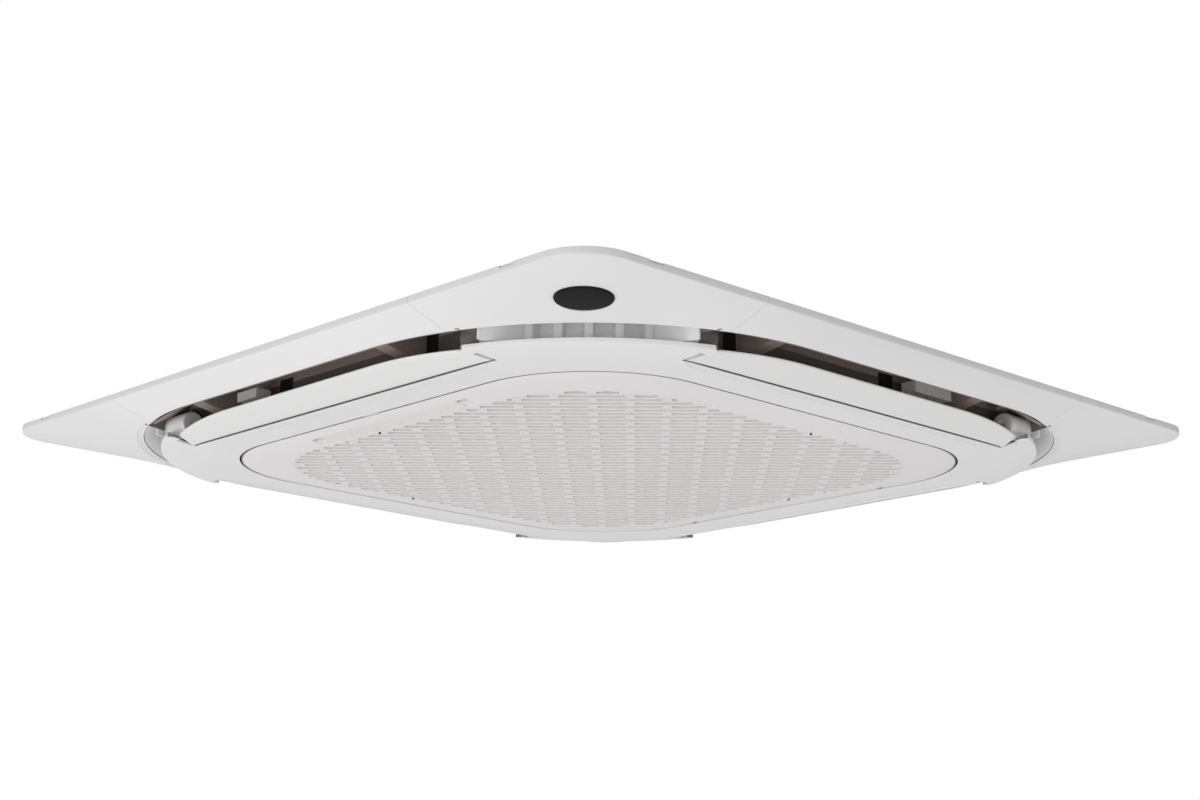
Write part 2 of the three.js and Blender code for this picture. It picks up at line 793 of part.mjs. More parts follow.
function makeVaneMotor() {
  const body = pivotHousing(housingStart + seatGap, endWallAtFace);
  const room = box(0, endWallAtFace + 20, -openingHalf, -ductInner, -faceDepth, ductRise);
  const wall = (distance) => endWallAtFace - (distance - ductInner) * endWallLean - seatGap;
  const beyond = prism([
    [wall(ductInner), -ductInner], [wall(openingHalf), -openingHalf],
    [endWallAtFace + 30, -openingHalf], [endWallAtFace + 30, -ductInner],
  ], -faceDepth, ductRise);
  const socketEnd = lugPosition + lugThickness + pinReach + 2;
  const socket = barAlong(pinRadius + pinClearance, housingStart - 1, socketEnd, pivotDistance, pivotLevel);
  return body.intersect(room).subtract(beyond).subtract(socket);
}

// Foam insert: the gasket between panel and body, with a lining and two struts in each outlet
function makeOutletInsert() {
  const low = -openingDepth + linerDrop;
  const slope = (openingEdge - ductOuter) / (openingDepth + ductRise);
  const cornerSlope = (openingEdgeCorner - funnelCorner) / (openingDepth + ductRise);
  const funnelAt = (level, inset) => {
    const drop = ductRise - level;
    return [ductOuter + drop * slope - inset, funnelCorner + drop * cornerSlope - inset, level];
  };
  const inset = 1.5 * seatGap;
  const outer = squareRing([
    funnelAt(low, inset), funnelAt(ductRise, inset), [ductOuter - inset, funnelCorner - inset, bodyBottom],
    [ductOuter - inset - linerSkin, funnelCorner - inset - linerSkin, bodyBottom],
    funnelAt(ductRise, inset + linerSkin), funnelAt(low, inset + linerSkin),
  ]);
  const space = squareStack([funnelAt(low, inset), funnelAt(ductRise, inset)]);
  const length = endWallAtFace - (openingHalf - ductInner) * endWallLean - linerSkin;
  const inner = lugPosition - linerSkin;
  const near = -ductInner - seatGap;
  const liners = eachQuarter((side) => {
    const keep = box(-length, length, -openingHalf, -ductInner, low, bodyBottom);
    const sheetInside = box(-inner, inner, near - linerSkin, near, low, bodyBottom);
    const struts = [-1, 1].map((hand) => box(hand * strutPosition - strutWidth / 2,
      hand * strutPosition + strutWidth / 2, -openingHalf, near, ductRise - strutHeight, ductRise));
    const trimmed = onSide(union(struts), side).intersect(space);
    return outer.intersect(onSide(keep, side)).add(onSide(sheetInside, side)).add(trimmed);
  });
  const openings = eachQuarter((side) => onSide(box(-length, length,
    -ductOuter + inset + linerSkin, near - linerSkin, ductRise - 1, bodyBottom + 1), side));
  const gasket = squareRing([
    [ductOuter + sealWidth, funnelCorner + sealWidth, ductRise],
    [ductOuter + sealWidth, funnelCorner + sealWidth, bodyBottom],
    [ductInner - sealWidth, ductWallCorner - sealWidth, bodyBottom],
    [ductInner - sealWidth, ductWallCorner - sealWidth, ductRise],
  ]);
  return gasket.subtract(openings).add(liners);
}

// ---------------------------------------------------------------- grille, filter, latches, hinge

// Half length of the slotted zone along a row at a distance from the middle
function rowHalf(distance) {
  const middle = (slotZoneHalf - slotZoneCorner) * Math.SQRT2;
  const radius = slotZoneCorner - slotHeight / 2;
  const off = Math.abs(distance);
  if (off <= radius / Math.SQRT2) return middle + Math.sqrt(radius * radius - off * off);
  if (off <= middle + radius / Math.SQRT2) return middle + radius * Math.SQRT2 - off;
  const past = off - middle;
  return past < radius ? Math.sqrt(radius * radius - past * past) : 0;
}

function grilleSlots() {
  const rows = Math.floor((diagonalOf(slotZoneHalf, slotZoneCorner) - slotHeight / 2) / rowPitch);
  const slots = [];
  for (let row = -rows; row <= rows; row++) {
    const distance = row * rowPitch;
    const end = rowHalf(distance);
    const shift = row % 2 === 0 ? 0 : bridgePitch / 2;
    for (let bridge = -4; bridge <= 4; bridge++) {
      const start = Math.max(shift + bridge * bridgePitch + bridgeWidth / 2, -end);
      const stop = Math.min(shift + (bridge + 1) * bridgePitch - bridgeWidth / 2, end);
      if (stop - start > 2 * slotHeight) {
        slots.push(box(distance - slotHeight / 2, distance + slotHeight / 2, start, stop,
          -faceDepth - grilleBulge - 1, -faceDepth + grilleThickness));
      }
    }
  }
  return atCorner(union(slots), 0);
}

function makeGrille() {
  const outer = squareStack([
    [slotZoneHalf, slotZoneCorner, -faceDepth - grilleBulge],
    [grilleHalf - grilleEdge, grilleCorner - grilleEdge, -faceDepth],
    [grilleHalf, grilleCorner, -faceDepth + grilleEdge * 0.8],
    [grilleHalf, grilleCorner, -faceDepth + grilleRim],
  ]);
  const rim = grilleHalf - grilleThickness;
  const rimCorner = grilleCorner - grilleThickness;
  const hollow = squareStack([
    [slotZoneHalf, slotZoneCorner, -faceDepth - grilleBulge + grilleThickness],
    [rim, rimCorner, plateTopLevel],
    [rim, rimCorner, -faceDepth + grilleRim + 1],
  ]);
  const roomSide = earThickness / 2 + 3;
  const earRoom = [-1, 1].map((hand) => {
    const middle = hand * hingeSpacing / 2;
    return box(middle - roomSide, middle + roomSide, hingeDistance - 7, grilleHalf + 1,
      hingeLevel - hingeEyeRadius - seatGap, 0);
  });
  const lugProfile = [
    [hingeDistance - 5, hingeLevel - 2], [hingeDistance + 4, hingeLevel - 1.4],
    [hingeDistance + 2, hingeLevel + 3], [hingeDistance - 2.5, hingeLevel + 3],
  ];
  const lugs = [-1, 1].flatMap((hand) => [-1, 1].map((end) => {
    const inner = hand * hingeSpacing / 2 + end * roomSide;
    const outerEnd = inner + end * 5;
    return onSide(sidePrism(lugProfile, Math.min(inner, outerEnd), Math.max(inner, outerEnd)), 2);
  }));
  const pinHole = onSide(barAlong(hingePinRadius + seatGap, -hingeSpacing, hingeSpacing,
    hingeDistance, hingeLevel, tinySteps), 2);
  const latchBays = [-1, 1].map((hand) => latchRoom(hand * latchSpacing / 2));
  const rails = [-1, 1].flatMap((hand) => latchRails(hand * latchSpacing / 2));
  const notch = box(-14, 14, -grilleHalf - 1, -grilleHalf + 2, -faceDepth - 1, -faceDepth + 1.6);
  return outer.subtract(hollow).subtract(grilleSlots()).subtract(union(earRoom)).add(union(lugs))
    .add(union(rails)).subtract(pinHole).subtract(union(latchBays)).subtract(notch);
}

// Room for a latch in the grille: a bay for its pad and a slot in the rim for its tongue
function latchRoom(middle) {
  const centre = grilleHalf - latchInset;
  const reach = latchLength / 2 + seatGap;
  const side = latchPad / 2 + seatGap;
  const bay = box(middle - side, middle + side, -centre - reach - latchTravel, -centre + reach,
    -faceDepth - grilleBulge - 1, railTop + 1);
  const slotSide = latchTongue / 2 + seatGap;
  const slot = box(middle - slotSide, middle + slotSide, -grilleHalf - 1, -centre,
    tongueLow - seatGap, railTop + latchThickness + 2 * seatGap);
  return bay.add(slot);
}

// Two flat rails beside the bay on which the slide runs
function latchRails(middle) {
  const start = slotZoneHalf + 1;
  const end = grilleHalf - latchInset + latchLength / 2 + latchTravel + 9;
  const slope = grilleBulge / (grilleHalf - grilleEdge - slotZoneHalf);
  const lowest = -faceDepth - grilleBulge + grilleThickness / 2;
  const level = (distance) => lowest + (distance - slotZoneHalf) * slope;
  const profile = [[start, level(start)], [end, level(end)], [end, railTop], [start, railTop]];
  const outer = latchWidth / 2;
  const inner = latchPad / 2 + 2;
  return [-1, 1].map((hand) => sidePrism(profile,
    middle + Math.min(hand * inner, hand * outer), middle + Math.max(hand * inner, hand * outer)));
}

// Latch: a flat slide with a finger pad below and a tongue towards -Y
function makeLatch() {
  const centre = grilleHalf - latchInset;
  const half = latchLength / 2;
  const low = railTop + seatGap;
  const high = low + latchThickness;
  const pad = box(-latchPad / 2, latchPad / 2, -centre - half, -centre + half, padLow, low + 0.5);
  const slide = box(-latchWidth / 2, latchWidth / 2, -centre - half - 2, -centre + half + 1, low, high);
  const tongue = box(-latchTongue / 2, latchTongue / 2, -grilleHalf + seatGap * 2, -centre, tongueLow, high);
  return pad.add(slide).add(tongue);
}

function makeFilter() {
  const low = -faceDepth - grilleBulge + grilleThickness + seatGap
    + (filterHalf - slotZoneHalf) * grilleBulge / (grilleHalf - grilleThickness - slotZoneHalf);
  const high = low + filterHeight;
  const outer = squareStack([[filterHalf, filterCorner, low], [filterHalf, filterCorner, high]]);
  const inner = filterHalf - filterFrame;
  const innerCorner = filterCorner - filterFrame;
  const net = low + filterHeight / 2;
  const above = squareStack([[inner, innerCorner, net + 0.4], [inner, innerCorner, high + 1]]);
  const below = squareStack([[inner, innerCorner, low - 1], [inner, innerCorner, net - 0.4]]);
  const bars = [
    box(-2, 2, -inner - 2, inner + 2, low + 1, high),
    box(-inner - 2, inner + 2, -2, 2, low + 1, high),
  ];
  const latchSpace = [-1, 1].map((hand) => box(
    hand * latchSpacing / 2 - latchWidth / 2 - 3, hand * latchSpacing / 2 + latchWidth / 2 + 3,
    -filterHalf - 1, -grilleHalf + latchInset + latchLength / 2 + 6, low - 1, high + 1));
  return outer.subtract(above).subtract(below).add(union(bars)).subtract(union(latchSpace));
}

function makeHingePin() {
  return barAlong(hingePinRadius, -hingePinLength / 2, hingePinLength / 2, 0, 0, tinySteps);
}

// ---------------------------------------------------------------- joint between panel and body

// Screw in a corner's frame
function makePanelScrew() {
  const headTop = flangeLevel(panelScrewDiagonal) + coverSkin + panelScrewHeadHeight + 4;
  return upright(panelScrewRadius, headTop - 1, headTop + panelScrewLength, panelScrewDiagonal, 0, tinySteps)
    .add(upright(panelScrewHead, headTop - panelScrewHeadHeight, headTop, panelScrewDiagonal));
}

// ---------------------------------------------------------------- body

function makeCasing() {
  const gland = onSide(
    barAcross(glandRadius - 3 + seatGap, bodyHalf - 5, bodyHalf + 5, glandAlong, glandLevel), 1);
  const pipeHoles = atCorner(union([
    pipeBar(gasPipeRadius + 3, bodyCornerReach - 10, bodyCornerReach + 10, -pipeSpread, pipeLevel),
    pipeBar(liquidPipeRadius + 3, bodyCornerReach - 10, bodyCornerReach + 10, pipeSpread, pipeLevel),
  ]), 2);
  const drainHole = atCorner(
    pipeBar(drainRadius + seatGap, bodyCornerReach - 10, bodyCornerReach + 10, 0, drainLevel), 3);
  return prism(bodyOutline(0), bodyBottom, bodyTop - sheet)
    .subtract(prism(bodyOutline(sheet), bodyBottom - 1, bodyTop))
    .subtract(gland).subtract(pipeHoles).subtract(drainHole);
}

// Round bar pointing outwards through one side, in that side's frame
function barAcross(radius, from, to, along, level, steps = smallSteps) {
  const geometry = new THREE.CylinderGeometry(radius, radius, to - from, steps);
  return solid(geometry.translate(along, -(from + to) / 2, level));
}

// Round bar pointing outwards along a corner's diagonal, in that corner's frame
function pipeBar(radius, from, to, sideways, level, steps = smallSteps) {
  const geometry = new THREE.CylinderGeometry(radius, radius, to - from, steps);
  return solid(geometry.rotateZ(Math.PI / 2).translate((from + to) / 2, sideways, level));
}

// Top plate with the studs that carry the motor
function makeTopPlate() {
  const plate = prism(bodyOutline(0), bodyTop - sheet, bodyTop);
  const nutTop = motorTop - motorFlange - seatGap;
  const stud = upright(studRadius, nutTop - 7, bodyTop - 0.5, studCircle, 0, studSteps)
    .add(upright(studRadius + 3, nutTop - 4, nutTop, studCircle, 0, tinySteps));
  const studs = ringOf(studCount, () => stud);
  return plate.add(studs);
}

function studHoles(low, high) {
  return ringOf(studCount, () => upright(studRadius + 2 * seatGap, low, high, studCircle, 0, studSteps));
}

function ringOf(count, make) {
  const bodies = [];
  for (let i = 0; i < count; i++) bodies.push(make(i).rotate([0, 0, 45 + 360 * i / count]));
  return union(bodies);
}

function makeLiner() {
  const skin = sheet + seatGap;
  const outer = prism(bodyOutline(skin), panTop + seatGap, bodyTop - sheet - seatGap);
  const hollow = prism(bodyOutline(skin + linerThickness), panTop, roofLevel);
  const motorHole = upright(motorFlangeRadius + 8, roofLevel - 1, bodyTop, 0, 0, roundSteps);
  const pipeHoles = atCorner(union([
    pipeBar(gasPipeRadius + 4, bodyCornerReach - 40, bodyCornerReach, -pipeSpread, pipeLevel),
    pipeBar(liquidPipeRadius + 4, bodyCornerReach - 40, bodyCornerReach, pipeSpread, pipeLevel),
  ]), 2);
  const drainHole = atCorner(
    pipeBar(drainRadius + 1, bodyCornerReach - 40, bodyCornerReach, 0, drainLevel), 3);
  const gland = onSide(barAcross(glandRadius + 2, bodyHalf - 30, bodyHalf, glandAlong, glandLevel), 1);
  return outer.subtract(hollow).subtract(motorHole).subtract(pipeHoles).subtract(drainHole).subtract(gland);
}

function makeDrainPan() {
  const length = endWallAtFace - 12;
  const outlets = eachQuarter((side) => onSide(
    box(-length, length, -ductOuter, -ductInner, bodyBottom - 1, panTop + 1), side));
  const trough = squareRing([
    [coilHalf + 7, coilCorner + 7, panTop - troughDepth], [coilHalf + 7, coilCorner + 7, panTop + 1],
    [coilHalf - coilDepth - 4, coilCorner - coilDepth - 4, panTop + 1],
    [coilHalf - coilDepth - 4, coilCorner - coilDepth - 4, panTop - troughDepth],
  ]);
  const sumpFloor = panTop - sumpDepth;
  const sump = atCorner(upright(pumpRadius + 2, sumpFloor, panTop + 1, pumpDiagonal)
    .add(upright(floatRadius + 3, sumpFloor, panTop + 1, pumpDiagonal, floatOffset)), 3);
  const channel = atCorner(
    box(pumpDiagonal - 45, pumpDiagonal, -8, floatOffset, panTop - troughDepth, panTop + 1), 3);
  const recess = upright(bellRadius + seatGap, bodyBottom - 1, bodyBottom + sheet + seatGap, 0, 0, bellSteps);
  return prism(bodyOutline(sheet + seatGap), bodyBottom, panTop)
    .subtract(upright(panBoreRadius, bodyBottom - 1, panTop + 1, 0, 0, bellSteps))
    .subtract(outlets).subtract(trough).subtract(sump).subtract(channel).subtract(recess);
}

function makeBellMouth() {
  const w = bellWall;
  return lathe([
    [bellRadius, bodyBottom], [throatRadius + 46, bodyBottom], [throatRadius + 26, bodyBottom + 5],
    [throatRadius + 10, bodyBottom + 18], [throatRadius + 2, bodyBottom + 34], [throatRadius, throatLevel],
    [throatRadius + w, throatLevel], [throatRadius + 2 + w, bodyBottom + 34.5],
    [throatRadius + 10 + w, bodyBottom + 19], [throatRadius + 26.8, bodyBottom + 5 + w],
    [throatRadius + 47, bodyBottom + w], [panBoreRadius - 4, bodyBottom + w],
    [panBoreRadius - 4, bodyBottom + sheet], [bellRadius, bodyBottom + sheet], [bellRadius, bodyBottom],
  ], bellSteps);
}

// Finned coil round the fan, brazed to its end plates and hairpin bends, open at the piping corner
function makeCoil() {
  const ring = squareRing([
    [coilHalf, coilCorner, coilBottom], [coilHalf, coilCorner, coilTop],
    [coilHalf - coilDepth, coilCorner - coilDepth, coilTop],
    [coilHalf - coilDepth, coilCorner - coilDepth, coilBottom],
  ]);
  const edge = coilHalf - coilOpening;
  const over = 1;
  const plates = box(-edge - coilPlateThickness, -edge + 1, coilHalf - coilDepth - over, coilHalf + over,
    coilBottom, coilTop)
    .add(box(-coilHalf - over, -coilHalf + coilDepth + over, edge - 1, edge + coilPlateThickness,
      coilBottom, coilTop));
  const gap = box(-coilHalf - 5, -edge, edge, coilHalf + 5, 0, bodyTop);
  return ring.subtract(gap).add(plates).add(coilBends());
}

function coilBends() {
  const start = coilHalf - coilOpening + coilPlateThickness - 1;
  const middle = coilHalf - coilDepth / 2;
  const pitch = (coilTop - coilBottom) / bendCount;
  const bodies = [];
  for (let i = 0; i < bendCount; i++) {
    const level = coilBottom + (i + 0.5) * pitch;
    bodies.push(bendAt(-start, middle, level, false));
    bodies.push(bendAt(-middle, start, level, true));
  }
  return union(bodies);
}

function bendAt(x, y, level, alongY) {
  const points = [];
  for (let step = 0; step <= 6; step++) {
    const angle = Math.PI * step / 6;
    const out = bendRadius * Math.sin(angle);
    const across = bendRadius * Math.cos(angle);
    const [px, py] = alongY ? [x, y + out] : [x - out, y];
    points.push(new THREE.Vector3(px, py, level + across));
  }
  return tube(points, bendTubeRadius, 5, 6);
}

function tube(points, radius, steps, sides) {
  const shape = new THREE.Shape();
  for (let i = 0; i < sides; i++) {
    const angle = 2 * Math.PI * i / sides;
    if (i === 0) shape.moveTo(radius, 0);
    else shape.lineTo(radius * Math.cos(angle), radius * Math.sin(angle));
  }
  const path = new THREE.CatmullRomCurve3(points, false, 'centripetal');
  return solid(new THREE.ExtrudeGeometry(shape, { steps, extrudePath: path, bevelEnabled: false }));
}

// Stub pipe in the corner's frame, from the header inside the coil corner to past the casing
function stubPipe(radius, sideways) {
  const outer = bodyCornerReach + pipeReach;
  const inner = bodyCornerReach - headerInset;
  const low = pipeLevel - headerDrop;
  const header = upright(radius + 1, low, pipeLevel + headerTop, inner, sideways)
    .subtract(upright(radius + 1 - pipeWall, low - 1, pipeLevel + headerTop - 2, inner, sideways));
  const run = pipeBar(radius, inner, outer, sideways, pipeLevel)
    .subtract(pipeBar(radius - pipeWall, inner, outer + 1, sideways, pipeLevel));
  const bore = pipeBar(radius - pipeWall, inner - 1, outer + 1, sideways, pipeLevel);
  return header.add(run).subtract(bore);
}

function hexNut(radius, bore, from, to, sideways) {
  return pipeBar(radius, from, to, sideways, pipeLevel, 6)
    .subtract(pipeBar(bore, from - 1, to + 1, sideways, pipeLevel));
}

function makeFlareNut(radius, flange, length, sideways) {
  const end = bodyCornerReach + pipeReach - nutInset;
  return hexNut(radius + flange, radius + seatGap, end - length, end, sideways);
}

function makePipePlate() {
  const from = bodyCornerReach + seatGap;
  const plate = box(from, from + sheet, -pipePlateWidth / 2, pipePlateWidth / 2,
    pipeLevel - pipePlateHeight / 2, pipeLevel + pipePlateHeight / 2);
  return plate
    .subtract(pipeBar(gasPipeRadius + seatGap, from - 5, from + 5, -pipeSpread, pipeLevel))
    .subtract(pipeBar(liquidPipeRadius + seatGap, from - 5, from + 5, pipeSpread, pipeLevel));
}

// ---------------------------------------------------------------- fan

function makeMotor() {
  const body = lathe([
    [0, motorBottom], [motorRadius - 8, motorBottom], [motorRadius, motorBottom + 8],
    [motorRadius, motorTop - motorFlange], [motorFlangeRadius, motorTop - motorFlange],
    [motorFlangeRadius, motorTop], [0, motorTop],
  ]);
  return body.subtract(upright(shaftRadius + seatGap, motorBottom - 1, shaftTop + seatGap))
    .subtract(studHoles(motorTop - 10, motorTop + 5));
}

// Rubber ring squeezed between the motor's flange and the top plate
function makeDamper() {
  const inner = studCircle - damperWidth / 2;
  const outer = studCircle + damperWidth / 2;
  const ring = lathe([
    [inner, motorTop], [outer, motorTop], [outer, bodyTop - sheet], [inner, bodyTop - sheet],
    [inner, motorTop],
  ]);
  return ring.subtract(studHoles(motorTop - 1, bodyTop));
}

function makeShaft() {
  return upright(shaftRadius, shaftBottom, shaftTop);
}

function makeImpeller() {
  const w = hubWall;
  const hub = lathe([
    [0, hubCupFloor], [hubCupRadius - 6, hubCupFloor], [hubCupRadius, hubCupFloor + 6],
    [hubCupRadius + 8, hubLevel - 8], [hubCupRadius + 18, hubLevel], [fanRadius, hubLevel],
    [fanRadius, hubLevel + w], [hubCupRadius + 16, hubLevel + w], [hubCupRadius + 5, hubLevel - 6],
    [hubCupRadius - w, hubCupFloor + 8], [hubCupRadius - 8, hubCupFloor + w], [0, hubCupFloor + w],
  ], fanSteps);
  const boss = upright(bossRadius, hubCupFloor - bossDepth, hubCupFloor + bossHeight);
  const shroud = lathe([
    [shroudRadius, shroudLevel], [shroudRadius + 4, shroudLevel + 14], [shroudRadius + 25, shroudLevel + 26],
    [fanRadius, shroudLevel + 34], [fanRadius, shroudLevel + 34 + w],
    [shroudRadius + 23, shroudLevel + 26 + w], [shroudRadius + 4 - w, shroudLevel + 16],
    [shroudRadius - w + 1, shroudLevel], [shroudRadius, shroudLevel],
  ], fanSteps);
  const room = lathe([
    [fanBladeInner - 20, shroudLevel + 12], [shroudRadius + 3, shroudLevel + 15],
    [shroudRadius + 24, shroudLevel + 27.5], [fanRadius, shroudLevel + 35.5], [fanRadius, hubLevel + 1],
    [fanBladeInner - 20, hubLevel + 1], [fanBladeInner - 20, shroudLevel + 12],
  ], fanSteps);
  const blades = ringOf(fanBladeCount, bladePrism).intersect(room);
  return hub.add(boss).add(shroud).add(blades).subtract(upright(shaftRadius + seatGap, 0, hubLevel));
}

// Backward-curved blade, thicker in its middle, in plan
function bladePrism() {
  const front = [];
  const back = [];
  for (let step = 0; step <= 4; step++) {
    const share = step / 4;
    const radius = fanBladeInner + share * (fanRadius - 4 - fanBladeInner);
    const angle = THREE.MathUtils.degToRad(-42 * Math.pow(share, 1.1));
    const thick = (fanBladeThickness / 2) * (0.4 + 0.6 * Math.sin(Math.PI * share)) / radius;
    front.push([radius * Math.cos(angle + thick), radius * Math.sin(angle + thick)]);
    back.push([radius * Math.cos(angle - thick), radius * Math.sin(angle - thick)]);
  }
  return prism([...front, ...back.reverse()], shroudLevel, hubLevel + 1);
}

function makeFanNut() {
  const low = shaftBottom + 2;
  const high = hubCupFloor - bossDepth - seatGap;
  return upright(fanNutRadius, low, high - 2, 0, 0, 6).add(upright(fanWasherRadius, high - 2, high))
    .subtract(upright(shaftRadius + seatGap, low - 1, high + 1));
}

// ---------------------------------------------------------------- hanging, drain, control box

// Bracket in a corner's frame; hand puts the hanging bolt on one side of the diagonal or the other
function makeBracket(hand) {
  const face = bodyCornerReach + seatGap;
  const boltOut = (boltPitchX + boltPitchY) / 2 / Math.SQRT2;
  const boltSide = hand * (boltPitchX - boltPitchY) / 2 / Math.SQRT2;
  const from = Math.min(-bracketOverlap * hand, (bracketWidth - bracketOverlap) * hand);
  const plate = box(face, face + bracketThickness, from, from + bracketWidth,
    bodyBottom, bodyBottom + bracketHeight);
  const ear = box(face, face + bracketReach, boltSide - bracketEarWidth / 2, boltSide + bracketEarWidth / 2,
    bracketEarLevel, bracketEarLevel + bracketThickness);
  const half = boltSlot / 2;
  const slot = box(boltOut - half, face + bracketReach + 1, boltSide - half, boltSide + half,
    bracketEarLevel - 1, bracketEarLevel + bracketThickness + 1);
  const tab = box(face, panelScrewDiagonal + 10, -tabWidth / 2, tabWidth / 2,
    bodyBottom, bodyBottom + bracketThickness);
  const hole = upright(panelScrewRadius + seatGap, 0, bodyBottom + 10, panelScrewDiagonal, 0, smallSteps);
  const rivets = rivetPlaces.map((side) => pipeBar(rivetRadius, face, face + bracketThickness + 2,
    hand * side, rivetLevel, tinySteps));
  return plate.add(ear).add(tab).add(union(rivets)).subtract(slot).subtract(hole);
}

// Plate over the sump that carries the pump and the float's stem, in the drain corner's frame
function makePumpPlate() {
  const low = panTop + seatGap;
  const stemLow = floatLow - seatGap - 1.5;
  const plate = box(pumpDiagonal - 24, pumpDiagonal + 24, -26, floatOffset + 14,
    low, low + pumpPlateThickness);
  return plate
    .subtract(upright(pumpSkirtRadius + seatGap, panTop - 5, panTop + 10, pumpDiagonal))
    .add(upright(stemRadius, stemLow, low + 12, pumpDiagonal, floatOffset))
    .add(upright(stemRadius + 3, stemLow, stemLow + 1.5, pumpDiagonal, floatOffset));
}

function makePump() {
  const low = panTop + 2 * seatGap + pumpPlateThickness;
  const skirt = panTop - sumpDepth + 8;
  const body = upright(pumpRadius, low, low + pumpHeight, pumpDiagonal, 0, smallSteps)
    .add(upright(pumpSkirtRadius, skirt, low + 1, pumpDiagonal))
    .subtract(upright(pumpBoreRadius, skirt - 1, low + 12, pumpDiagonal))
    .add(pipeBar(pumpSpoutRadius, pumpDiagonal - 12, pumpDiagonal + 24, 0, low + pumpHeight - 10, tinySteps))
    .subtract(upright(pumpShaftRadius + 2 * seatGap, low, low + 40, pumpDiagonal));
  return body;
}

function makePumpImpeller() {
  const low = panTop - sumpDepth + 10;
  const shaft = upright(pumpShaftRadius, low, panTop + 40, 0, 0, tinySteps);
  const paddle = box(-paddleHalf, paddleHalf, -1, 1, low, low + paddleHeight);
  const paddles = [0, 90].map((angle) => paddle.rotate([0, 0, angle]));
  return shaft.add(union(paddles));
}

function makeFloat() {
  return upright(floatRadius, floatLow, floatLow + floatHeight)
    .subtract(upright(stemRadius + seatGap, floatLow - 1, floatLow + floatHeight + 1));
}

function makeDrainOutlet() {
  const face = bodyCornerReach + seatGap;
  const spigot = pipeBar(drainRadius, bodyCornerReach - 24, face + drainReach, 0, drainLevel)
    .add(pipeBar(drainRadius + 5, face, face + 3, 0, drainLevel))
    .subtract(pipeBar(drainRadius - 2, bodyCornerReach - 25, face + drainReach + 1, 0, drainLevel));
  return spigot;
}

// Control box under the bell mouth on the -X side, open below, closed by its cover
function makeControlBox() {
  const w = boxWall;
  const half = boxLength / 2;
  const shell = box(-boxOuterEdge, -boxInnerEdge, -half, half, boxBottom, boxTop)
    .subtract(box(-boxOuterEdge + w, -boxInnerEdge - w, -half + w, half - w, boxBottom - 1, boxTop - w));
  const posts = [];
  for (const x of [-boxOuterEdge + boxPostInset, -boxInnerEdge - boxPostInset]) {
    for (const y of [-half + boxPostInset, boardEnd - boardMargin]) {
      posts.push(upright(3, boxTop - boxPostHeight, boxTop - 0.5, x, y, tinySteps));
    }
  }
  const inlet = box(-boxOuterEdge - 1, -boxOuterEdge + 5, 90, 120, boxBottom + 10, boxBottom + 18);
  return shell.add(union(posts)).subtract(inlet);
}

function makeBoxCover() {
  const top = boxBottom - seatGap;
  const lid = box(-boxOuterEdge, -boxInnerEdge, -boxLength / 2, boxLength / 2, top - boxWall, top);
  const screws = [-1, 1].map((hand) => upright(3.5, top - boxWall - 1.8, top - 0.5,
    -boxOuterEdge + boxWidth / 2, hand * (boxLength / 2 - 10), smallSteps));
  return lid.add(union(screws));
}

function makeControlBoard() {
  const top = boxTop - boxPostHeight - seatGap;
  const low = top - boardThickness;
  const near = -boxOuterEdge + boardMargin;
  const far = -boxInnerEdge - boardMargin;
  const board = box(near, far, -boxLength / 2 + boardMargin, boardEnd, low, top);
  const blocks = boardBlocks.map(([x0, x1, y0, y1, height]) => box(
    near + x0, near + x1, y0, y1, low - height, low + 0.5));
  const cans = boardCans.map(([x, y, radius, height]) => upright(
    radius, low - height, low + 0.5, near + x, y, smallSteps));
  return board.add(union(blocks)).add(union(cans));
}

function makeTerminalBlock() {
  const top = boxTop - boxWall - seatGap;
  const end = terminalStart + terminalWidth;
  const block = box(-boxOuterEdge + terminalInset, -boxInnerEdge - terminalInset,
    terminalStart, end, top - terminalHeight, top);
  const slots = [];
  for (let i = 0; i < terminalCount; i++) {
    const x = -boxOuterEdge + terminalInset + 5 + i * terminalPitch;
    for (const y of [terminalStart - 1, end - 6]) {
      slots.push(box(x, x + terminalSlot, y, y + 7, top - terminalHeight - 1, top - terminalHeight + 7));
    }
  }
  return block.subtract(union(slots));
}

function makeGland() {
  const w = glandRadius;
  const inner = bodyHalf - sheet - seatGap;
  const outside = barAcross(w, bodyHalf + seatGap, bodyHalf + 5, glandAlong, glandLevel);
  const neck = barAcross(w - 3, bodyHalf - sheet - 4, bodyHalf + 3, glandAlong, glandLevel);
  const inside = barAcross(w, inner - 3, inner, glandAlong, glandLevel);
  const hole = barAcross(w - 5, bodyHalf - 20, bodyHalf + 20, glandAlong, glandLevel);
  return onSide(outside.add(neck).add(inside).subtract(hole), 1);
}

// ---------------------------------------------------------------- assembly

const airConditioner = new THREE.Group();

function piece(name, body, material, parent = airConditioner) {
  const mesh = new THREE.Mesh(geometryOf(body), material);
  mesh.name = name;
  parent.add(mesh);
  return mesh;
}

// Group turned to a side's or a corner's own frame
function sideGroup(side) {
  const group = new THREE.Group();
  group.rotation.z = side * Math.PI / 2;
  airConditioner.add(group);
  return group;
}

function cornerGroup(corner) {
  const group = sideGroup(corner);
  group.rotation.z -= Math.PI / 4;
  return group;
}

const sideNames = ['south', 'east', 'north', 'west'];
const cornerNames = ['southeast', 'northeast', 'northwest', 'southwest'];
const pipingCorner = cornerGroup(2);
const drainCorner = cornerGroup(3);

piece('panel_frame', makePanelFrame(), panelWhite);
piece('centre_bezel', makeCentreBezel(), panelWhite);
piece('outlet_insert', makeOutletInsert(), foamBrown);
cornerNames.forEach((name, corner) => {
  piece(`corner_cover_${name}`, makeCornerCover(corner), panelWhite, sideGroup(corner));
  piece(`panel_screw_${name}`, makePanelScrew(), steel, cornerGroup(corner));
  piece(`hanger_bracket_${name}`, makeBracket(boltHands[corner]), galvanised, cornerGroup(corner));
});

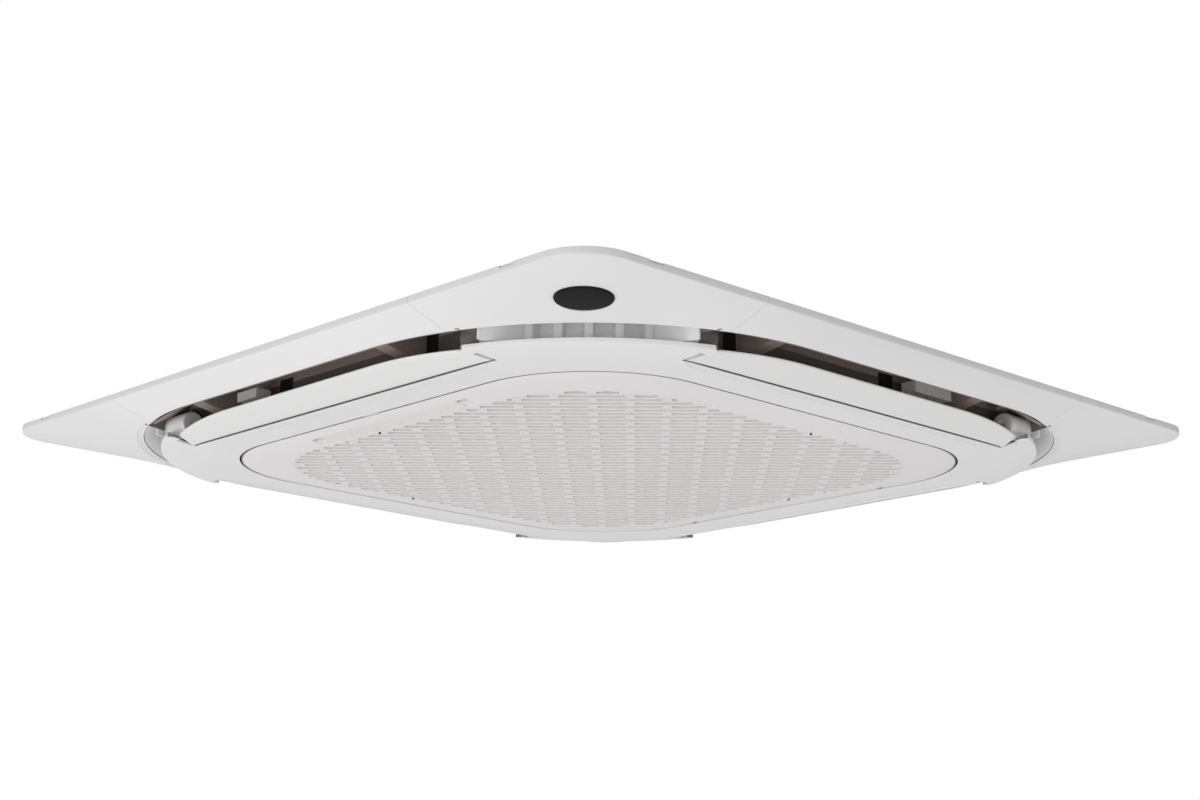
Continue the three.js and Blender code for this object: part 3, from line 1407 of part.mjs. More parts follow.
const receiver = new THREE.Group();
receiver.position.set(receiverDiagonal, 0, flangeLevel(receiverDiagonal));
receiver.rotation.y = -Math.atan(slopePerDiagonal);
cornerGroup(0).add(receiver);
piece('receiver_window', makeReceiverWindow(), gloss, receiver);
piece('receiver_board', makeReceiverBoard(), boardGreen, receiver);

sideNames.forEach((name, side) => {
  const group = sideGroup(side);
  piece(`vane_${name}`, makeVane(), vaneWhite, group).position.set(0, -pivotDistance, pivotLevel);
  piece(`vane_motor_${name}`, makeVaneMotor(), vaneWhite, group);
});

piece('intake_grille', makeGrille(), grilleWhite);
piece('air_filter', makeFilter(), filterGrey);
[['left', -1], ['right', 1]].forEach(([name, hand]) => {
  piece(`grille_latch_${name}`, makeLatch(), grilleWhite).position.x = hand * latchSpacing / 2;
  piece(`grille_hinge_pin_${name}`, makeHingePin(), steel)
    .position.set(hand * hingeSpacing / 2, hingeDistance, hingeLevel);
});

piece('casing_shell', makeCasing(), galvanised);
piece('top_plate', makeTopPlate(), galvanised);
piece('insulation_liner', makeLiner(), polystyrene);
piece('drain_pan', makeDrainPan(), polystyrene);
piece('bell_mouth', makeBellMouth(), galvanised);
piece('coil', makeCoil(), aluminium);
piece('gas_pipe', stubPipe(gasPipeRadius, -pipeSpread), copper, pipingCorner);
piece('liquid_pipe', stubPipe(liquidPipeRadius, pipeSpread), copper, pipingCorner);
piece('gas_flare_nut', makeFlareNut(gasPipeRadius, gasNutWall, gasNutLength, -pipeSpread),
  brass, pipingCorner);
piece('liquid_flare_nut', makeFlareNut(liquidPipeRadius, liquidNutWall, liquidNutLength, pipeSpread),
  brass, pipingCorner);
piece('pipe_cover_plate', makePipePlate(), galvanised, pipingCorner);

piece('fan_motor', makeMotor(), steel);
piece('motor_damper', makeDamper(), rubberBlack);
piece('motor_shaft', makeShaft(), steel);
piece('fan_impeller', makeImpeller(), fanPlastic);
piece('fan_nut', makeFanNut(), steel);

piece('pump_plate', makePumpPlate(), galvanised, drainCorner);
piece('drain_pump', makePump(), boxPlastic, drainCorner);
piece('pump_impeller', makePumpImpeller(), boxPlastic, drainCorner).position.x = pumpDiagonal;
piece('float_ring', makeFloat(), panelWhite, drainCorner).position.set(pumpDiagonal, floatOffset, 0);
piece('drain_outlet', makeDrainOutlet(), boxPlastic, drainCorner);

piece('control_box', makeControlBox(), galvanised);
piece('control_box_cover', makeBoxCover(), galvanised);
piece('control_board', makeControlBoard(), boardGreen);
piece('terminal_block', makeTerminalBlock(), fanPlastic);
piece('cable_gland', makeGland(), rubberBlack);

export default airConditioner;
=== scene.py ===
import json
import math

import bmesh
import bpy
from bpy.props import FloatProperty, FloatVectorProperty, PointerProperty
from mathutils import Matrix, Vector


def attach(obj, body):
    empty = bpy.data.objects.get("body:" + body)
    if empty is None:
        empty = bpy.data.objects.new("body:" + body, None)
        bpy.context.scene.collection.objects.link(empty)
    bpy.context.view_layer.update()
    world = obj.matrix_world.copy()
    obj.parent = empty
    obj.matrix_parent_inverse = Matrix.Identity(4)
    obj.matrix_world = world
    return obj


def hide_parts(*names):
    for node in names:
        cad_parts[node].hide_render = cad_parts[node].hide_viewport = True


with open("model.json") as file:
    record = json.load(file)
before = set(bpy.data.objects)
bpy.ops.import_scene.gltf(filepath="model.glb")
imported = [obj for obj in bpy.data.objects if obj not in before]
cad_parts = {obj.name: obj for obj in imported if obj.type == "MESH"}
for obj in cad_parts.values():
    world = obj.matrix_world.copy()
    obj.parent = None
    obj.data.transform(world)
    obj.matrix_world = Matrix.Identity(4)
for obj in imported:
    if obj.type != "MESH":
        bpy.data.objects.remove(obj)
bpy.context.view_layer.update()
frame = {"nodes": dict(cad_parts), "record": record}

bl_info = {
    "name": "Ceiling cassette air conditioner",
    "version": (1, 0, 0),
    "blender": (4, 5, 0),
    "location": "3D View > Sidebar > Cassette",
    "description": "Builds the panel, grille, vanes and body finishes of a ceiling cassette",
    "category": "Object",
}

MM = 0.001
SIDES = ("south", "east", "north", "west")
CORNERS = ("southeast", "northeast", "northwest", "southwest")
RIGHT_ANGLE = math.pi / 2
FINISHES = {}
CORNER_STEPS = 20
ROUND_STEPS = 48

# Levels and radii of the panel, in millimetres
RIM_DEPTH = 7.0
OPENING_DEPTH = 25.0
LIP_DEPTH = 36.0
FACE_DEPTH = 40.0
PLATE_LEVEL = 8.0
PANEL_CORNER = 50.0
OPENING_EDGE_INSET = 2.0
OPENING_CORNER = 290.0
FUNNEL_HALF = 404.0
FUNNEL_CORNER = 276.0
LIP_CORNER = 275.0
WALL_HALF = 362.0
WALL_CORNER = 133.0
SKIN = 2.2
GAP = 0.3
SEAM_HALF = 0.25
PIVOT_DISTANCE = 381.0
PIVOT_LEVEL = -26.5
HOUSING_DISTANCE = 385.0
HOUSING_LEVEL = -19.6
HOUSING_RADIUS = 13.5
END_WALL = 277.0
END_LEAN = 0.27
RECEIVER_DIAGONAL = 561.2
RECEIVER_SIDEWAYS = -2.0
RECEIVER_LEVEL = -18.5
RECEIVER_TILT = math.radians(4.5)
RECEIVER_CLEARANCE = 0.35

# Steps along the skins from the middle to one end, and along a vane from end to end
SIDE_STEPS = 24
COVER_STEPS = 28
LINER_STEPS = 16
VANE_STEPS = 64

# Ribs, rim notches, screw posts, hinge arms and latches
RIBS_EACH_WAY = 2
RIB_PITCH = 11.3
RIB_REACH = 12.0
NOTCHES_FROM_CORNER = (95.5, 86.0)
NOTCH_HALF = 8.5
NOTCH_DEPTH = 1.4
NOTCH_LOW = -2.5
SCREW_POST_PLACE = 530.0
SCREW_POST_RADIUS = 8.0
HINGE_PLACE = 150.0
HINGE_ARM_HALF = 2.0
LATCH_PLACE = 118.0

# Outlets and their lining; its faces are marked with their place in LINING_FINISHES
OUTLET_HALF = 252.0
DUCT_HALF = 235.0
LINING_HALF = 262.0
LINING_WALL = WALL_HALF + GAP
LINING_SKIN = 1.2
BAND_TOP = 3.0
LINING_TOP = PLATE_LEVEL - 0.4
GASKET_TOP = 12.0
END_LINING_FOOT = -23.5
BAND_FEET = (-35.0, -35.0, END_LINING_FOOT, END_LINING_FOOT)
STRUT_HALF = 9.0
STRUTS = ((-180.0, 130.0), (-160.0, 150.0), (-150.0, 150.0), (-150.0, 150.0))
# Levels of the black boxes that are painted shade for the outlets' dark openings
SHADE_BOX_LEVELS = (-20.0, 11.0)
# Pale block in each near outlet: its ends along the side, its levels, and the ends of the black box
# beside it, painted shade for a dark opening
BLOCKS = (
    ((-138.0, -104.0), (-14.0, -4.0), (-102.0, -80.0)),
    ((72.0, 132.0), (-13.0, -1.0), (48.0, 70.0)),
)
# The second lining finish is painted shade: black for the outlets' dark openings. The third is
# painted shade too: dark brown-grey on the lower bands, end walls and motor sleeves, where shade
# falls
LINING_FINISHES = ("foam_brown", "black_painted_shade", "dark_painted_shade", "foam_white")
BROWN, SHADE_BLACK, SHADE_DARK, PALE = range(len(LINING_FINISHES))


# ---------------------------------------------------------------- shapes


class Shape:
    """Points in millimetres and their faces, gathered one solid at a time."""

    def __init__(self):
        self.points = []
        self.faces = []
        self.marks = []

    def add(self, points, faces, matrix=None, mark=0):
        start = len(self.points)
        for point in points:
            place = Vector(point)
            self.points.append(matrix @ place if matrix else place)
        self.faces += [[start + i for i in face] for face in faces]
        self.marks += [mark] * len(faces)

    def loft(self, loops, closed=False, matrix=None, mark=0):
        """Joins loops of equally many points; open ends are closed by flat caps."""
        size = len(loops[0])
        points = [point for loop in loops for point in loop]
        faces = []
        for i in range(len(loops) if closed else len(loops) - 1):
            here, there = i * size, (i + 1) % len(loops) * size
            faces += [
                (here + j, here + (j + 1) % size, there + (j + 1) % size, there + j)
                for j in range(size)
            ]
        if not closed:
            last = (len(loops) - 1) * size
            faces += [tuple(reversed(range(size))), tuple(range(last, last + size))]
        self.add(points, faces, matrix, mark)

    def ring(self, section, steps=CORNER_STEPS, mark=0):
        """Section of (half width, corner radius, level) carried round a rounded square."""
        self.loft([square_loop(*place, steps) for place in section], True, None, mark)

    def prism(self, outline, low, high, matrix=None, mark=0):
        self.loft([[(x, y, z) for x, y in outline] for z in (low, high)], False, matrix, mark)

    def box(self, x0, x1, y0, y1, z0, z1, matrix=None, mark=0):
        self.prism([(x0, y0), (x1, y0), (x1, y1), (x0, y1)], z0, z1, matrix, mark)

    def side_prism(self, profile, ends, matrix=None):
        """Profile of (distance out, level), run along a side between two ends."""
        loops = [[(t, -out, level) for out, level in profile] for t in sorted(ends)]
        self.loft(loops, False, matrix)

    def bar(self, stations, out, level, matrix=None, steps=ROUND_STEPS, lean=0.0, mark=0):
        """Round bar along a side; stations are (place along, radius), the first end may lean."""
        loops = []
        for along, radius in stations:
            slant = 0.0 if loops else lean
            spots = circle(radius, steps)
            loops.append([(along + slant * u, u - out, level + v) for u, v in spots])
        self.loft(loops, False, matrix, mark)

    def upright(self, stations, x=0.0, y=0.0, matrix=None, steps=ROUND_STEPS):
        """Round upright solid; stations are (radius, level)."""
        self.loft([[(x + u, y + v, level) for u, v in circle(radius, steps)]
                   for radius, level in stations], False, matrix)

    def absorb(self, piece, mark=0):
        """Takes in the mesh of a piece and removes the piece."""
        mesh = piece.data
        self.add([vertex.co / MM for vertex in mesh.vertices],
                 [tuple(polygon.vertices) for polygon in mesh.polygons], mark=mark)
        bpy.data.objects.remove(piece)


def circle(radius, steps):
    turns = [2 * math.pi * i / steps for i in range(steps)]
    return [(radius * math.cos(a), radius * math.sin(a)) for a in turns]


def square_loop(half, radius, level, steps=CORNER_STEPS):
    """Points of a square with rounded corners, counter-clockwise from its +X side."""
    loop = []
    reach = half - radius
    for quarter in range(4):
        x = reach * (1 if quarter in (0, 3) else -1)
        y = reach * (1 if quarter in (0, 1) else -1)
        for step in range(steps + 1):
            angle = (quarter + step / steps) * RIGHT_ANGLE
            loop.append((x + radius * math.cos(angle), y + radius * math.sin(angle), level))
    return loop


def on_side(side):
    return Matrix.Rotation(side * RIGHT_ANGLE, 4, "Z")


def at_corner(corner):
    return Matrix.Rotation((corner - 0.5) * RIGHT_ANGLE, 4, "Z")


def make_mesh(name, shape, smooth=30.0):
    """Mesh in metres from a shape, closed, turned outwards, smooth below the given angle."""
    mesh = bpy.data.meshes.new(name)
    mesh.from_pydata([point * MM for point in shape.points], [], shape.faces)
    mesh.polygons.foreach_set("material_index", shape.marks)
    work = bmesh.new()
    work.from_mesh(mesh)
    bmesh.ops.remove_doubles(work, verts=work.verts, dist=1e-7)
    bmesh.ops.recalc_face_normals(work, faces=work.faces)
    work.to_mesh(mesh)
    work.free()
    mesh.shade_smooth()
    mesh.set_sharp_from_angle(angle=math.radians(smooth))
    return mesh


def make_object(name, shape, smooth=30.0):
    piece = bpy.data.objects.new(name, make_mesh(name, shape, smooth))
    bpy.context.scene.collection.objects.link(piece)
    return piece


def cut(piece, shape, smooth=30.0):
    """Takes the solids of a shape out of a piece; the cut faces keep the shape's marks."""
    tool = make_object(piece.name + "_tool", shape)
    for item in (piece, tool):
        while len(item.data.materials) < 2:
            item.data.materials.append(FINISHES["panel_white"])
    modifier = piece.modifiers.new("cut", "BOOLEAN")
    modifier.operation = "DIFFERENCE"
    modifier.solver = "EXACT"
    modifier.use_self = True
    modifier.object = tool
    bake(piece, smooth)
    bpy.data.objects.remove(tool)


def bake(piece, smooth=None):
    """Turns a piece's modifiers into its plain mesh."""
    bpy.context.view_layer.update()
    graph = bpy.context.evaluated_depsgraph_get()
    mesh = bpy.data.meshes.new_from_object(piece.evaluated_get(graph))
    old = piece.data
    piece.modifiers.clear()
    piece.data = mesh
    bpy.data.meshes.remove(old)
    if smooth is not None:
        mesh.shade_smooth()
        mesh.set_sharp_from_angle(angle=math.radians(smooth))


def settle(piece, body, node, *names):
    """Gives a piece its finishes, the body that carries it and the node that it stands for."""
    marks = [polygon.material_index for polygon in piece.data.polygons]
    piece.data.materials.clear()
    for name in names:
        piece.data.materials.append(FINISHES[name])
    piece.data.polygons.foreach_set("material_index", marks)
    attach(piece, body)
    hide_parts(node)


# ---------------------------------------------------------------- finishes


class Tree:
    """Short way to add nodes to a tree and to join them."""

    def __init__(self, tree):
        self.tree = tree
        self.tree.nodes.clear()

    def add(self, kind, values=None, **settings):
        node = self.tree.nodes.new(kind)
        for key, value in settings.items():
            setattr(node, key, value)
        for key, value in (values or {}).items():
            self.put(node.inputs[key], value)
        return node

    def put(self, socket, value):
        if isinstance(value, bpy.types.NodeSocket):
            self.tree.links.new(value, socket)
        else:
            socket.default_value = value

    def math(self, operation, first, second=0.0, third=0.0):
        node = self.add("ShaderNodeMath", operation=operation)
        for socket, value in zip(node.inputs, (first, second, third)):
            self.put(socket, value)
        return node.outputs[0]

    def mix(self, factor, first, second):
        node = self.add("ShaderNodeMix", data_type="RGBA")
        for name, value in (("Factor", factor), ("A", first), ("B", second)):
            sockets = [s for s in node.inputs if s.name == name and s.enabled]
            self.put(sockets[0], value)
        return [s for s in node.outputs if s.enabled][0]

    def span(self, value, low, high, start=0.0, end=1.0):
        node = self.add("ShaderNodeMapRange")
        for name, item in (("Value", value), ("From Min", start), ("From Max", end),
                           ("To Min", low), ("To Max", high)):
            self.put(node.inputs[name], item)
        return node.outputs[0]


def node_group(name, kind, inputs, outputs):
    """New node group with named sockets; inputs are (name, socket kind, default)."""
    group = bpy.data.node_groups.new(name, kind)
    for label, socket_kind, default in inputs:
        socket = group.interface.new_socket(name=label, in_out="INPUT", socket_type=socket_kind)
        if default is not None:
            socket.default_value = default
    for label, socket_kind in outputs:
        group.interface.new_socket(name=label, in_out="OUTPUT", socket_type=socket_kind)
    return group


def grain_group():
    """Fine moulding grain and slow blotches, both from 0 to 1, on object coordinates."""
    group = node_group(
        "surface_grain", "ShaderNodeTree",
        [("Fine Scale", "NodeSocketFloat", 900.0), ("Blotch Scale", "NodeSocketFloat", 5.0)],
        [("Fine", "NodeSocketFloat"), ("Blotch", "NodeSocketFloat")],
    )
    tree = Tree(group)
    entry = tree.add("NodeGroupInput")
    leave = tree.add("NodeGroupOutput")
    place = tree.add("ShaderNodeTexCoord").outputs["Object"]
    for label, detail in (("Fine", 2.0), ("Blotch", 4.0)):
        noise = tree.add("ShaderNodeTexNoise", {
            "Vector": place, "Scale": entry.outputs[label + " Scale"], "Detail": detail,
            "Roughness": 0.55,
        })
        tree.put(leave.inputs[label], tree.span(noise.outputs["Fac"], 0.0, 1.0, 0.3, 0.7))
    return group


def dust_group():
    """Mask of the thin dust that stays in creases and on edges, broken up by noise."""
    group = node_group(
        "crease_dust", "ShaderNodeTree",
        [("Amount", "NodeSocketFloat", 0.3)],
        [("Crease", "NodeSocketFloat"), ("Edge", "NodeSocketFloat")],
    )
    tree = Tree(group)
    entry = tree.add("NodeGroupInput")
    leave = tree.add("NodeGroupOutput")
    place = tree.add("ShaderNodeTexCoord").outputs["Object"]
    noise = tree.add("ShaderNodeTexNoise", {"Vector": place, "Scale": 60.0, "Detail": 5.0})
    bend = tree.add("ShaderNodeNewGeometry").outputs["Pointiness"]
    broken = tree.span(noise.outputs["Fac"], 0.4, 1.0, 0.35, 0.65)
    for label, start, end in (("Crease", 0.49, 0.44), ("Edge", 0.52, 0.62)):
        mask = tree.math("MULTIPLY", tree.span(bend, 0.0, 1.0, start, end), broken)
        tree.put(leave.inputs[label], tree.math("MULTIPLY", mask, entry.outputs["Amount"]))
    return group


def pattern_value(tree, kind, place):
    """Height from 0 to 1 of a finish's own pattern, on object coordinates in metres."""
    if kind == "spangle":
        cells = tree.add("ShaderNodeTexVoronoi", {"Vector": place, "Scale": 110.0})
        return tree.add("ShaderNodeSeparateColor", {"Color": cells.outputs["Color"]}).outputs[0]
    if kind == "beads":
        cells = tree.add("ShaderNodeTexVoronoi", {"Vector": place, "Scale": 260.0})
        return tree.span(cells.outputs["Distance"], 1.0, 0.0, 0.1, 0.75)
    if kind == "foam":
        cells = tree.add("ShaderNodeTexVoronoi", {"Vector": place, "Scale": 700.0})
        return cells.outputs["Distance"]
    if kind == "brushed":
        stretch = tree.add("ShaderNodeMapping", {"Vector": place, "Scale": (40.0, 40.0, 1600.0)})
        noise = tree.add("ShaderNodeTexNoise", {"Vector": stretch.outputs[0], "Scale": 1.0})
        return noise.outputs["Fac"]
    split = tree.add("ShaderNodeSeparateXYZ", {"Vector": place}).outputs
    if kind == "fins":
        along = tree.math("ADD", split[0], split[1])
        wave = tree.math("SINE", tree.math("MULTIPLY", along, 2900.0))
        return tree.span(wave, 0.0, 1.0, -1.0, 1.0)
    waves = [
        tree.math("ABSOLUTE", tree.math("SINE", tree.math("MULTIPLY", split[axis], 1250.0)))
        for axis in (0, 1)
    ]
    if kind == "net":
        return tree.math("MAXIMUM", waves[0], waves[1])
    tracks = tree.add("ShaderNodeTexBrick", {"Vector": place, "Scale": 160.0, "Mortar Size": 0.06})
    return tree.math("SUBTRACT", 1.0, tracks.outputs["Fac"])


def make_finish(name, groups, colour, shade, roughness, fine=900.0, depth=0.00002, blotch=5.0,
                metallic=0.0, pattern=None, pattern_depth=0.0, pattern_mix=0.35, dust=0.25,
                dust_colour=(0.45, 0.42, 0.38), coat=0.0, wear=0.0, ior=1.5):
    """Principled finish with grain, blotches, crease dust and the finish's own pattern."""
    finish = bpy.data.materials.new(name)
    finish.use_nodes = True
    tree = Tree(finish.node_tree)
    grain = tree.add("ShaderNodeGroup", node_tree=groups["grain"])
    tree.put(grain.inputs["Fine Scale"], fine)
    tree.put(grain.inputs["Blotch Scale"], blotch)
    dusty = tree.add("ShaderNodeGroup", node_tree=groups["dust"])
    tree.put(dusty.inputs["Amount"], dust)
    tint = tree.mix(grain.outputs["Blotch"], (*shade, 1.0), (*colour, 1.0))
    height = tree.math("MULTIPLY", grain.outputs["Fine"], depth)
    if pattern:
        place = tree.add("ShaderNodeTexCoord").outputs["Object"]
        value = pattern_value(tree, pattern, place)
        deep = tuple(c * 0.55 for c in shade)
        tint = tree.mix(tree.span(value, pattern_mix, 0.0), tint, (*deep, 1.0))
        height = tree.math("MULTIPLY_ADD", value, pattern_depth, height)
    tint = tree.mix(dusty.outputs["Crease"], tint, (*dust_colour, 1.0))
    if wear:
        bright = tuple(min(1.0, c * 1.25 + 0.05) for c in colour)
        tint = tree.mix(tree.math("MULTIPLY", dusty.outputs["Edge"], wear), tint, (*bright, 1.0))
    low, high = roughness
    rough = tree.span(grain.outputs["Blotch"], low, high)
    bump = tree.add("ShaderNodeBump", {"Height": height, "Distance": 1.0, "Strength": 0.7})
    shader = tree.add("ShaderNodeBsdfPrincipled", {
        "Base Color": tint, "Roughness": rough, "Normal": bump.outputs[0],
    })
    shader.inputs["Metallic"].default_value = metallic
    shader.inputs["IOR"].default_value = ior
    shader.inputs["Coat Weight"].default_value = coat
    shader.inputs["Coat Roughness"].default_value = 0.06
    out = tree.add("ShaderNodeOutputMaterial")
    tree.put(out.inputs["Surface"], shader.outputs[0])
    return finish


def make_finishes(colours):
    """Every finish, by the name of the record's slot that it stands for."""
    groups = {"grain": grain_group(), "dust": dust_group()}
    panel = tuple(colours.panel_colour)
    vane = tuple(colours.vane_colour)
    grille = tuple(colours.grille_colour)
    receiver = tuple(colours.receiver_colour)
    foam = tuple(colours.foam_colour)

    def dim(colour, share):
        return tuple(c * share for c in colour)

    table = {
        "panel_white": dict(colour=panel, shade=dim(panel, 0.975), roughness=(0.38, 0.5)),
        "vane_white": dict(colour=vane, shade=dim(vane, 0.98), roughness=(0.34, 0.44)),
        "grille_white": dict(colour=grille, shade=dim(grille, 0.97), roughness=(0.48, 0.6),
                             fine=700.0, depth=0.00003),
        "gloss_black": dict(colour=receiver, shade=dim(receiver, 0.8), roughness=(0.1, 0.16),
                            depth=0.000002, dust=0.05, ior=1.06),
        "foam_brown": dict(colour=foam, shade=dim(foam, 0.75), roughness=(0.85, 0.95),
                           pattern="foam", pattern_depth=0.0003, dust=0.1),
        # Painted shade: black for the dark openings in the outlets
        "black_painted_shade": dict(colour=(0.012, 0.011, 0.011), shade=(0.006, 0.006, 0.006),
                           roughness=(0.9, 1.0), pattern="foam", pattern_depth=0.0002, dust=0.0),
        # Painted shade: dark walls in the seams round the vane bays and at the grille's edge
        "seam_shade": dict(colour=(0.24, 0.23, 0.22), shade=(0.18, 0.17, 0.165),
                           roughness=(0.7, 0.8)),
        # Painted shade: dark brown-grey for the shade on the lining's lower bands, end walls and
        # motor sleeves
        "dark_painted_shade": dict(colour=(0.2, 0.175, 0.16), shade=(0.13, 0.112, 0.102),
                          roughness=(0.85, 0.95), pattern="foam", pattern_depth=0.0002, dust=0.05),
        "foam_white": dict(colour=(0.84, 0.84, 0.82), shade=(0.76, 0.76, 0.74),
                           roughness=(0.8, 0.92), pattern="beads", pattern_depth=0.0004,
                           pattern_mix=0.3),
        "galvanised": dict(colour=(0.58, 0.6, 0.61), shade=(0.47, 0.49, 0.5), metallic=0.85,
                           roughness=(0.32, 0.5), pattern="spangle", pattern_mix=0.3,
                           pattern_depth=0.00001, dust=0.35),
        "steel": dict(colour=(0.55, 0.56, 0.57), shade=(0.45, 0.46, 0.47), metallic=0.9,
                      roughness=(0.26, 0.42), pattern="brushed", pattern_depth=0.00003,
                      pattern_mix=0.25, wear=0.5),
        "copper": dict(colour=(0.62, 0.29, 0.16), shade=(0.42, 0.19, 0.11), metallic=0.95,
                       roughness=(0.25, 0.45), blotch=30.0, wear=0.5),
        "brass": dict(colour=(0.6, 0.44, 0.2), shade=(0.46, 0.33, 0.14), metallic=0.95,
                      roughness=(0.22, 0.4), blotch=40.0, wear=0.6),
        "fin_aluminium": dict(colour=(0.68, 0.7, 0.71), shade=(0.55, 0.57, 0.58), metallic=0.8,
                              roughness=(0.3, 0.45), pattern="fins", pattern_depth=0.0006,
                              pattern_mix=0.75),
        "fan_plastic": dict(colour=(0.045, 0.05, 0.055), shade=(0.03, 0.033, 0.037),
                            roughness=(0.42, 0.58), dust=0.4, wear=0.3),
        "box_plastic": dict(colour=(0.32, 0.34, 0.35), shade=(0.26, 0.28, 0.29),
                            roughness=(0.45, 0.6), dust=0.3),
        "board_green": dict(colour=(0.02, 0.14, 0.06), shade=(0.015, 0.09, 0.04),
                            roughness=(0.3, 0.45), pattern="tracks", pattern_mix=0.6,
                            pattern_depth=0.00004, coat=0.3),
        "rubber_black": dict(colour=(0.014, 0.014, 0.014), shade=(0.01, 0.01, 0.01),
                             roughness=(0.7, 0.85), dust=0.5),
        "filter_grey": dict(colour=(0.62, 0.585, 0.59), shade=(0.57, 0.54, 0.545),
                            roughness=(0.7, 0.85), pattern="net", pattern_depth=0.0001,
                            pattern_mix=0.2),
    }
    return {name: make_finish(name, groups, **values) for name, values in table.items()}


# ---------------------------------------------------------------- panel


def flange_face(length):
    """Function that gives the level of the flange's face at a distance in from its rim."""
    return lambda d: -RIM_DEPTH - (OPENING_DEPTH - RIM_DEPTH) * d / length


def flange_section(length):
    """Skin of the flange from the rim's top, over the face and its double bead, and back."""
    face = flange_face(length)
    return [
        (0.0, 0.0), (0.0, -RIM_DEPTH + 1.3), (0.12, -RIM_DEPTH + 0.55), (0.45, -RIM_DEPTH - 0.05),
        (1.1, face(1.1)), (length * 0.5, face(length * 0.5)),
        (length - 7.4, face(length - 7.4)), (length - 7.0, face(length - 7.0) + 0.7),
        (length - 4.2, face(length - 4.2) + 0.7), (length - 3.8, face(length - 3.8) + 1.4),
        (length - 0.9, face(length - 0.9) + 1.2), (length - 0.25, face(length) + 1.6),
        (length, face(length) + SKIN), (length - 0.6, face(length) + SKIN + 0.5),
        (length - 7.0, face(length - 7.0) + SKIN + 0.8), (3.0, face(3.0) + SKIN + 0.4),
        (SKIN, -3.4), (SKIN, 0.0),
    ]


def pocket_section(length):
    """Recessed floor of the frame behind a corner cover."""
    face = flange_face(length)
    start, end, rise, thick = 3.4, length - 0.2, SKIN + 1.0 + GAP, 2.0
    return [
        (start, face(start) + rise), (end, face(length) + rise + 0.6),
        (end, face(length) + rise + 0.6 + thick), (start, face(start) + rise + thick),
    ]


def opening_edge(sizes):
    return sizes.opening_half / MM - OPENING_EDGE_INSET


def face_distance(sizes, along):
    """How far out the opening's edge stands at a place along a side."""
    half = opening_edge(sizes)
    past = max(abs(along) - (half - OPENING_CORNER), 0.0)
    return half - OPENING_CORNER + math.sqrt(OPENING_CORNER ** 2 - past ** 2)


def side_rays(sizes, reach):
    """Outer and inner ends of the flange's sections along the first side."""
    rim = sizes.panel_half / MM
    rays = []
    for step in range(2 * SIDE_STEPS + 1):
        along = reach * (step / SIDE_STEPS - 1)
        rays.append(((along, -rim), (along, -face_distance(sizes, along))))
    return rays


def corner_rays(sizes, start):
    """Outer and inner ends of the flange's sections round the first corner, closest in its bend."""
    rim = sizes.panel_half / MM
    middle = opening_edge(sizes) - OPENING_CORNER
    first = math.asin((start - middle) / OPENING_CORNER)
    rays = []
    for step in range(2 * COVER_STEPS + 1):
        u = step / COVER_STEPS - 1
        share = 0.5 + 0.5 * (0.2 * u + 0.8 * u ** 3)
        turn = first + (RIGHT_ANGLE - 2 * first) * share
        lean = RIGHT_ANGLE * share
        inner = (middle + OPENING_CORNER * math.sin(turn),
                 -middle - OPENING_CORNER * math.cos(turn))
        rays.append((rim_hit(inner, (math.sin(lean), -math.cos(lean)), rim), inner))
    return rays


def rim_hit(origin, towards, rim):
    """Where a ray from the opening's edge meets the rim."""
    bend = rim - PANEL_CORNER
    if towards[1] < 0:
        far = (-rim - origin[1]) / towards[1]
        if origin[0] + far * towards[0] <= bend:
            return (origin[0] + far * towards[0], -rim)
    if towards[0] > 0:
        far = (rim - origin[0]) / towards[0]
        if origin[1] + far * towards[1] >= -bend:
            return (rim, origin[1] + far * towards[1])
    x, y = origin[0] - bend, origin[1] + bend
    along = x * towards[0] + y * towards[1]
    far = -along + math.sqrt(along ** 2 - (x * x + y * y - PANEL_CORNER ** 2))
    return (origin[0] + far * towards[0], origin[1] + far * towards[1])


def skin_loops(rays, section):
    loops = []
    for (ox, oy), (ix, iy) in rays:
        length = math.hypot(ix - ox, iy - oy)
        loops.append([
            (ox + (ix - ox) * d / length, oy + (iy - oy) * d / length, level)
            for d, level in section(length)
        ])
    return loops


def wall_place(out, offset=0.0):
    """Where an outlet's slanted end wall stands along the side at a distance out."""
    return END_WALL - (out - WALL_HALF) * END_LEAN + offset


def add_corner_ribs(shape, corner):
    """Ribs that stand out from the rounded corner of the inner wall."""
    centre = (WALL_HALF - WALL_CORNER) * math.sqrt(2)
    root, tip = WALL_CORNER - 1.2, WALL_CORNER + RIB_REACH
    for index in range(-RIBS_EACH_WAY, RIBS_EACH_WAY + 1):
        turn = math.radians(RIB_PITCH * index)
        place = (at_corner(corner) @ Matrix.Translation((centre, 0, 0))
                 @ Matrix.Rotation(turn, 4, "Z"))
        half = [(root, 6.2), (WALL_CORNER + 1.2, 5.1), (WALL_CORNER + 3.4, 4.5), (tip - 1.2, 4.3),
                (tip - 0.3, 3.9), (tip, 3.0)]
        outline = [(x, -y) for x, y in half] + [(x, y) for x, y in reversed(half)]
        shape.prism(outline, -LIP_DEPTH + 3.6, PLATE_LEVEL - 2.6, place)


